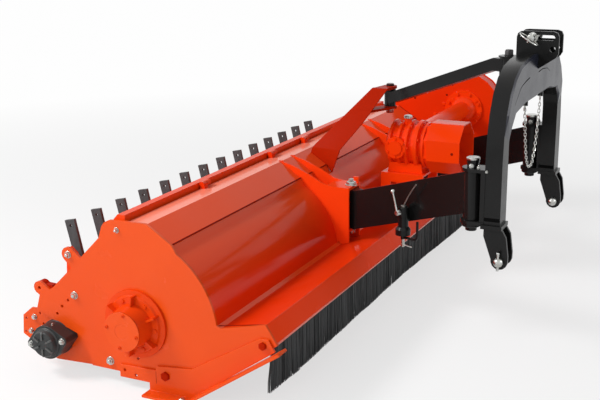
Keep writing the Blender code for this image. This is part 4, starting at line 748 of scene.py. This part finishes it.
# Top link pin: turned body, washer outside the near cheek, cross barrel and spring ring.
TOP_PIN = (1.392, 1.122)
TOP_PIN_FORM = [(1.0820, 0.0100), (1.0835, 0.0135), (1.0990, 0.0150), (1.1000, 0.0130), (1.1030, 0.0130)]
TOP_PIN_FORM += [(1.1040, 0.0150), (1.1195, 0.0150), (1.1200, 0.0190), (1.1236, 0.0190), (1.1238, 0.0090)]
TOP_PIN_FORM += [(1.2062, 0.0090), (1.2064, 0.0165), (1.2150, 0.0165), (1.2180, 0.0140)]
BARREL = [(0.0, 0.0040), (0.002, 0.0052), (0.0370, 0.0052), (0.0375, 0.0075), (0.0440, 0.0075)]
RING_TILT = math.radians(-33.0)
RING_R = 0.0385
bm = bmesh.new()
turn(bm, at(0.0, *TOP_PIN), X, TOP_PIN_FORM, 28)
ring = []
for k in range(32):
    t = 2.0 * math.pi * k / 32.0
    f = TOP_PIN[0] - 0.008 + RING_R * math.cos(t) * math.cos(RING_TILT)
    z = TOP_PIN[1] - 0.004 + RING_R * math.cos(t) * math.sin(RING_TILT)
    ring.append(at(1.0945 + 0.0260 * math.sin(t), f, z))
sweep(bm, ring, 0.0026, 8, closed=True)
cross = (F * math.cos(RING_TILT) + Z * math.sin(RING_TILT)).cross(X)
turn(bm, at(1.0935, *TOP_PIN) - cross * 0.0215, cross, BARREL, 16)
pin = new_piece("top_link_pin", bm, ZINC, "hitch_head", angle=40.0)
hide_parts("top_hitch_pin")

# Lower hitch pins: a ball end on both and a linch rod on the near one.
LOW_PIN = (1.412, 0.391)
LOW_PIN_X = 0.435
BALL_R = 0.0175
BALL_X = -0.0480
LINCH = [(0.3620, 0.0042), (0.3700, 0.0052), (0.3910, 0.0052), (0.4150, 0.0052), (0.4260, 0.0066)]
LINCH += [(0.4290, 0.0040)]
for side, middle in (("near", HEAD_X - LOW_PIN_X), ("far", HEAD_X + LOW_PIN_X)):
    bm = bmesh.new()
    angles = [math.radians(a) for a in range(12, 140, 14)]
    profile = [(-BALL_R * math.cos(a) + BALL_X, BALL_R * math.sin(a)) for a in angles]
    profile += [(-0.0362, 0.0142), (0.0420, 0.0142), (0.0422, 0.0205), (0.0485, 0.0205), (0.0500, 0.0185)]
    turn(bm, at(middle, *LOW_PIN), X, profile, 28)
    if side == "near":
        rod = [at(middle - 0.054, LOW_PIN[0], z) for z, _ in LINCH]
        sweep(bm, rod, [radius for _, radius in LINCH], 12)
    pin = new_piece(side + "_clevis_pin", bm, ZINC, "hitch_head", angle=40.0)
    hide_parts(side + "_hitch_pin")

# Strut head: flat washer plate and hexagon head over the pin.
STRUT_HEAD_F = 1.298
STRUT_PLATE = [(1.0428, 0.0390), (1.0462, 0.0390), (1.0470, 0.0380), (1.0470, 0.0180), (1.0495, 0.0175)]
bm = bmesh.new()
turn(bm, at(HEAD_X, STRUT_HEAD_F, 0.0), Z, STRUT_PLATE, 32)
new_piece("strut_head_plate", bm, BLACK, "hitch_head")
bm = bmesh.new()
hexagon(bm, at(HEAD_X, STRUT_HEAD_F, 1.0490), Z, 0.0164, 0.0205)
new_piece("strut_head_bolt", bm, TINE, "hitch_head")

# Drive shaft cradle: thin bent rod through a collared socket, black hook, and a small pin with its ring.
# Points are (along the arm from the socket, z), and radii stand beside them.
SOCKET_S = 0.380
SOCKET_SIDE = 0.0515
ROD = ((0.0, 0.372), (0.0, 0.506), (0.002, 0.516), (0.024, 0.552), (0.046, 0.582), (0.068, 0.608))
ROD_R = [0.0032, 0.0032, 0.0026, 0.0024, 0.0024, 0.0024]
HOOK = [(0.0, 0.3900), (0.020, 0.3920), (0.060, 0.3945), (0.072, 0.3975), (0.0775, 0.405)]
HOOK += [(0.079, 0.416), (0.079, 0.468)]


def beside(s, z, side=0.0):
    """Point at the cradle's socket on the near arm."""
    return along(ARM_XS[0], SOCKET_S + s, SOCKET_SIDE + side, z)


SOCKET = beside(0.0, 0.0)
bm = bmesh.new()
turn(bm, SOCKET, Z, [(0.3990, 0.0220), (0.4010, 0.0285), (0.4230, 0.0285), (0.4330, 0.0204)], 28)
new_piece("socket_collar", bm, BLACK, "near_swing_arm")
bm = bmesh.new()
sweep(bm, [beside(*p) for p in ROD], ROD_R, 12)
turn(bm, SOCKET, Z, [(0.5088, 0.0095), (0.5140, 0.0095), (0.5155, 0.0080)], 20)
rod = new_piece("cradle_rod", bm, STEEL, "cradle")
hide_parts("shaft_cradle")
bm = bmesh.new()
sweep(bm, [beside(*p) for p in HOOK], 0.0052, 12)
turn(bm, SOCKET, Z, [(0.3830, 0.0070), (0.3840, 0.0085), (0.3985, 0.0085), (0.4010, 0.0070)], 20)
new_piece("cradle_hook", bm, BLACK, "cradle")
bm = bmesh.new()
turn(bm, SOCKET, Z, [(0.3520, 0.0040), (0.3540, 0.0068), (0.3830, 0.0068)], 16)
ring = []
for k in range(24):
    t = 2.0 * math.pi * k / 24.0
    ring.append(beside(0.022 + 0.0220 * math.cos(t), 0.3620 + 0.0060 * math.sin(t), 0.0150 * math.sin(t)))
sweep(bm, ring, 0.0017, 8, closed=True)
new_piece("cradle_pin", bm, ZINC, "cradle")

# Clamp lever: tapering bar with a ball at its end, on a turned boss.
KNOB_R = 0.0085
bm = bmesh.new()
low, high = beside(0.004, 0.482, 0.031), beside(-0.024, 0.562, 0.031)
sweep(bm, [low, low.lerp(high, 0.5), high], [0.0062, 0.0045, 0.0040], 12)
axis = (high - low).normalized()
angles = [math.radians(a) for a in range(15, 170, 15)]
turn(bm, high - axis * 0.004, axis, [(0.010 - KNOB_R * math.cos(a), KNOB_R * math.sin(a)) for a in angles], 20)
boss, boss_end = beside(0.0, 0.490, 0.0205), beside(0.0, 0.490, 0.037)
turn(bm, boss, boss_end - boss, [(0.0, 0.0110), (0.0120, 0.0110), (0.0155, 0.0090)], 18)
lever = new_piece("clamp_lever", bm, ZINC, "clamp")
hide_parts("cradle_clamp")

# Gearbox: filler cap, flange bolts and the bolts of the cross shaft's boss.
FILLER = [(0.7160, 0.0165), (0.7175, 0.0182), (0.7255, 0.0182), (0.7290, 0.0150), (0.7302, 0.0110)]
bm = bmesh.new()
turn(bm, at(DRIVE_X - 0.020, 0.792, 0.0), Z, FILLER, 24)
new_piece("filler_cap", bm, ZINC, "chassis")
bm = bmesh.new()
for ring_f, ring_r, count, phase in ((0.8595, 0.0965, 8, 22.5), (0.8145, 0.0975, 6, 0.0)):
    for k in range(count):
        x, z = polar(DRIVE_X, DRIVE[1], ring_r, phase + 360.0 * k / count)
        hexagon(bm, at(x, ring_f, z), F, 0.0072, 0.0050)
new_piece("gearbox_bolts", bm, DEEP_LIT, "chassis")
bm = bmesh.new()
for k in range(6):
    f, z = polar(*DRIVE, 0.039, 30.0 + 60.0 * k)
    hexagon(bm, at(1.3780, f, z), -X, 0.0058, 0.0050)
new_piece("boss_bolts", bm, DEEP_LIT, "chassis")

# Eight-sided guard of the input shaft, open to the front: (f, radius) round its wall, and a dark disc where a
# hole stands, painting the shade inside it.
GUARD = [(0.8865, 0.1000), (0.9030, 0.1000), (0.9035, 0.1165), (1.0500, 0.1165), (1.0500, 0.1118)]
GUARD += [(0.9080, 0.1118), (0.9080, 0.0400), (0.8865, 0.0400)]
HALF_SIDE = 22.5


def eight_sided(f, radius):
    """Corners and middles of the sides of an octagon about the drive line."""
    ring = []
    for k in range(16):
        reach = radius * math.cos(math.radians(HALF_SIDE)) if k % 2 else radius
        x, z = polar(DRIVE_X, DRIVE[1], reach, HALF_SIDE * (k + 1))
        ring.append(at(x, f, z))
    return ring


bm = bmesh.new()
rings = [[bm.verts.new(p) for p in eight_sided(f, radius)] for f, radius in GUARD]
skin(bm, rings + rings[:1], capped=False)
guard = new_piece("drive_guard", bm, DEEP_LIT, "chassis", angle=20.0)
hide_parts("pto_guard")
round_edges(guard, 0.0014)
bm = bmesh.new()
turn(bm, at(DRIVE_X - 0.1070, 1.018, 0.594), -X, [(0.0, 0.0058), (0.0012, 0.0058), (0.0013, 0.0050)], 16)
new_piece("guard_hole_shadow", bm, PAINTED_SEAM_SHADOW, "chassis")

# Far side, seen past the gearbox: closing gusset, flange bolts, and dark discs on the belt case that paint the
# shade in its holes.
GUSSET = [(0.303, 0.590), (0.390, 0.606), (0.420, 0.638), (0.500, 0.662), (0.562, 0.672), (0.600, 0.640)]
GUSSET += [(0.560, 0.600), (0.461, 0.566), (0.412, 0.588)]
FLANGE_BOLTS = [(0.6589, 0.6208), (0.7115, 0.6442), (0.7813, 0.6890), (0.8284, 0.6459)]
FLANGE_BOLTS += [(0.8499, 0.5877), (0.6887, 0.5868), (0.6128, 0.5633), (0.8315, 0.5436)]
HOLE_SHADOWS = [(0.6718, 0.6664), (0.7000, 0.7200), (0.5000, 0.6400)]
CASE_FACE = 2.3900
BEARING_FACE = 2.3780
BEARING_R = 0.090
bm = bmesh.new()
plate(bm, 2.3990, GUSSET, -0.0075)
round_edges(new_piece("far_gusset", bm, CASE_SHADE, "chassis"), EDGE)
bm = bmesh.new()
for f, z in FLANGE_BOLTS:
    on_bearing = math.hypot(f - DRIVE[0], z - DRIVE[1]) < BEARING_R
    hexagon(bm, at(BEARING_FACE if on_bearing else CASE_FACE, f, z), -X, 0.0100, 0.0080)
new_piece("flange_bolts", bm, DEEP_LIT, "chassis")
bm = bmesh.new()
for f, z in HOLE_SHADOWS:
    turn(bm, at(CASE_FACE + 0.0002, f, z), -X, [(0.0, 0.0052), (0.0010, 0.0052), (0.0011, 0.0046)], 14)
new_piece("case_hole_shadows", bm, PAINTED_SEAM_SHADOW, "chassis")

# Hood ends: cheeks that close the fold beside the side plates, and the lugs behind the lower ears, the lugs in
# the shaded strut copy of the orange as painted shade.
HOOD_END = 0.0112
CHEEK = [(0.3245, 0.590), (0.3245, 0.6118), (0.2962, 0.6118), (0.2365, 0.5480), (0.2168, 0.5120)]
CHEEK += [(0.2300, 0.5060), (0.2480, 0.5400), (0.3020, 0.5940)]
LUG = [polar(-0.049, 0.306, 0.0225, a) for a in range(35, 251, 18)]
LUG += [(-0.0390, 0.2700), (0.0035, 0.3025), (-0.0010, 0.3180)]
for name, outline, inner, mat in (("hood_ends", CHEEK, 0.0210, HOOD), ("hood_lugs", LUG, 0.0360, STRUT_SHADE)):
    bm = bmesh.new()
    plate(bm, HOOD_END, outline, inner - HOOD_END)
    plate(bm, WIDTH - inner, outline, inner - HOOD_END)
    new_piece(name, bm, mat, "rake_hood")

# Bolts of the belt cover, on a line inside its rim.
LOW_PULLEY_R = 0.155
HIGH_PULLEY_R = 0.180
COVER_MARGIN = 0.014


def cover_line(steps):
    """Points along the two rounded ends of the belt cover."""
    rise = math.degrees(math.atan2(DRIVE[1] - ROTOR[1], DRIVE[0] - ROTOR[0]))
    span = math.hypot(DRIVE[1] - ROTOR[1], DRIVE[0] - ROTOR[0])
    tilt = math.degrees(math.asin((HIGH_PULLEY_R - LOW_PULLEY_R) / span))
    low_end = (ROTOR, LOW_PULLEY_R, rise + 90.0 + tilt, rise + 270.0 - tilt)
    high_end = (DRIVE, HIGH_PULLEY_R, rise - 90.0 - tilt, rise + 90.0 + tilt)
    line = []
    for centre, radius, start, end in (low_end, high_end):
        for k in range(steps + 1):
            line.append(polar(*centre, radius - COVER_MARGIN, start + (end - start) * k / steps))
    return line


bm = bmesh.new()
for f, z in cover_line(2):
    bolt(bm, at(WIDTH + 0.0925, f, z), X, 0.0090, height=0.0052, washer_t=0.0014)
new_piece("cover_bolts", bm, ZINC, "chassis")

# Roof: the joint of its two sheets and lines along the side plates, in dark red as painted shadow, and weld
# beads under the brackets.
ARCH = [polar(*ROTOR, ROOF_R + 0.0008, 58.4 - 51.4 * k / 14.0) for k in range(15)]
SHEET_JOINT = [(0.5030, 0.5344), (0.5072, 0.5324), (0.5056, 0.5296), (0.5014, 0.5318)]
ROOF_END = 0.0106
BRACKET_SHEETS = (-0.0612, -0.0488, 0.0488, 0.0612)
bm = bmesh.new()
plate(bm, 0.012, SHEET_JOINT, WIDTH - 0.024)
edge = [(0.412, 0.5924), (0.505, 0.5326)] + ARCH + [(0.846, 0.3114), (0.886, 0.2494)]
for x in (ROOF_END, WIDTH - ROOF_END):
    sweep(bm, [at(x, f, z + 0.0004) for f, z in edge], 0.0014, 6)
new_piece("roof_seam", bm, PAINTED_SEAM_SHADOW, "chassis")
bm = bmesh.new()
weld_line = [(0.412, 0.5935), (0.505, 0.5335)] + ARCH
for px in ARM_XS:
    for offset in BRACKET_SHEETS:
        x = px + offset
        bead(bm, [at(x, f, z) for f, z in weld_line], 0.0028, seed=int(x * 1000))
new_piece("bracket_welds", bm, BRACKET_LIT, "chassis")

# Turned-down lip over the brush: a thin sheet laid over its face in the lit bracket copy of the orange with
# almost no gloss, and a rolled hem whose paler glossy paint is a painted highlight.
LIP = [(0.8472, 0.3087), (0.8850, 0.2501)]
LIP += [(f + 0.0011, z + 0.0007) for f, z in reversed(LIP)]
LIP_END = 0.0125
HEM_LINE = (0.8846, 0.2512)
bm = bmesh.new()
plate(bm, LIP_END, LIP, WIDTH - 2.0 * LIP_END)
round_edges(new_piece("lip_strip", bm, BRACKET_LIT, "chassis"), 0.0004)
bm = bmesh.new()
sweep(bm, [at(LIP_END, *HEM_LINE), at(WIDTH - LIP_END, *HEM_LINE)], 0.0034, 16)
new_piece("lip_hem", bm, HEM_HIGHLIGHT, "chassis")

# Camera at the photograph's viewpoint; its focal length and shift are in pixels of the photo.
PHOTO_WIDTH = 600.0
FOCAL = 1028.14
SHIFT_DOWN = 3.1
SENSOR = 36.0
EYE = (-3.88580, -1.59137, 1.55357)
RIGHT = Vector((0.43079, -0.90240, -0.00978))
UPWARD = Vector((0.24013, 0.10417, 0.96514))
AHEAD = Vector((0.86992, 0.41812, -0.26157))
camera = bpy.data.cameras.new("camera")
camera.sensor_width = SENSOR
camera.lens = SENSOR * FOCAL / PHOTO_WIDTH
camera.shift_y = -SHIFT_DOWN / PHOTO_WIDTH
camera.clip_end = 200.0
viewer = bpy.data.objects.new("camera", camera)
viewer.matrix_world = Matrix.Translation(EYE) @ Matrix((RIGHT, UPWARD, -AHEAD)).transposed().to_4x4()
bpy.context.scene.collection.objects.link(viewer)
bpy.context.scene.camera = viewer

WHITE = (1.0, 1.0, 1.0, 1.0)
FLOOR_REACH = 60.0
FLOOR_GREY = 0.86
NEAR_RING, FAR_RING = 1.8, 5.5
NEAR_GLOW, FAR_GLOW = 0.66, 0.985
MIRRORED_GLOW = 0.5


def studio_floor():
    """Pale floor: white to the eye away from the object, and it keeps the object's shadow."""
    bm = bmesh.new()
    corners = ((-1.0, -1.0), (1.0, -1.0), (1.0, 1.0), (-1.0, 1.0))
    bm.faces.new([bm.verts.new((x * FLOOR_REACH, y * FLOOR_REACH, 0.0)) for x, y in corners])
    mesh = bpy.data.meshes.new("floor")
    bm.to_mesh(mesh)
    bm.free()
    floor = bpy.data.objects.new("floor", mesh)
    bpy.context.scene.collection.objects.link(floor)
    n = Nodes("floor_white")
    n.main.inputs["Base Color"].default_value = (FLOOR_GREY, FLOOR_GREY, FLOOR_GREY, 1.0)
    n.main.inputs["Roughness"].default_value = 0.9
    n.main.inputs["Specular IOR Level"].default_value = 0.0
    glow = n.add("ShaderNodeEmission")
    glow.inputs["Color"].default_value = WHITE
    paths = n.add("ShaderNodeLightPath")
    seen = n.add("ShaderNodeMath", operation="MULTIPLY_ADD", use_clamp=True)
    n.link(paths.outputs["Is Glossy Ray"], seen.inputs[0])
    seen.inputs[1].default_value = MIRRORED_GLOW
    n.link(paths.outputs["Is Camera Ray"], seen.inputs[2])
    away = n.add("ShaderNodeVectorMath", operation="LENGTH")
    n.link(n.place, away.inputs[0])
    glow_share = n.remap(away.outputs["Value"], NEAR_RING, FAR_RING, NEAR_GLOW, FAR_GLOW)
    share = n.times(seen.outputs["Value"], glow_share)
    blend = n.add("ShaderNodeMixShader")
    n.link(share, blend.inputs["Fac"])
    n.link(n.main.outputs["BSDF"], blend.inputs[1])
    n.link(glow.outputs["Emission"], blend.inputs[2])
    n.link(blend.outputs["Shader"], n.tree.nodes["Material Output"].inputs["Surface"])
    mesh.materials.append(n.mat)


studio_floor()

SKY_LEVEL = 0.34


def studio_world():
    """White where it is seen, directly, in gloss or through glass, and a plain soft level otherwise."""
    world = bpy.data.worlds.new("studio")
    bpy.context.scene.world = world
    world.use_nodes = True
    tree = world.node_tree
    sky = tree.nodes["Background"]
    sky.inputs["Color"].default_value = WHITE
    sky.inputs["Strength"].default_value = SKY_LEVEL
    white = tree.nodes.new("ShaderNodeBackground")
    white.inputs["Color"].default_value = WHITE
    white.inputs["Strength"].default_value = 1.0
    paths = tree.nodes.new("ShaderNodeLightPath")
    both = tree.nodes.new("ShaderNodeMath")
    both.operation = "ADD"
    tree.links.new(paths.outputs["Is Camera Ray"], both.inputs[0])
    tree.links.new(paths.outputs["Is Glossy Ray"], both.inputs[1])
    every = tree.nodes.new("ShaderNodeMath")
    every.operation = "ADD"
    every.use_clamp = True
    tree.links.new(both.outputs["Value"], every.inputs[0])
    tree.links.new(paths.outputs["Is Transmission Ray"], every.inputs[1])
    blend = tree.nodes.new("ShaderNodeMixShader")
    tree.links.new(every.outputs["Value"], blend.inputs["Fac"])
    tree.links.new(sky.outputs["Background"], blend.inputs[1])
    tree.links.new(white.outputs["Background"], blend.inputs[2])
    tree.links.new(blend.outputs["Shader"], tree.nodes["World Output"].inputs["Surface"])


studio_world()


def lamp(name, place, aim, size, power, mirrored=True):
    """Soft rectangular lamp; mirrored tells whether it shows in gloss."""
    light = bpy.data.lights.new(name, "AREA")
    light.shape = "RECTANGLE"
    light.size, light.size_y = size
    light.energy = power
    holder = bpy.data.objects.new(name, light)
    holder.location = place
    holder.rotation_mode = "QUATERNION"
    holder.rotation_quaternion = (Vector(aim) - Vector(place)).to_track_quat("-Z", "Y")
    holder.visible_glossy = mirrored
    bpy.context.scene.collection.objects.link(holder)


lamp("key", (-2.8, 3.1, 3.9), (-0.3, 0.0, 0.3), (1.6, 1.3), 185.0)
lamp("side", (-5.4, 0.8, 2.2), (0.0, 0.0, 0.4), (3.4, 2.6), 84.0, mirrored=False)
lamp("front", (0.6, -4.8, 2.6), (0.0, 0.0, 0.5), (3.2, 2.0), 45.0)

bpy.context.scene.view_settings.view_transform = "Standard"
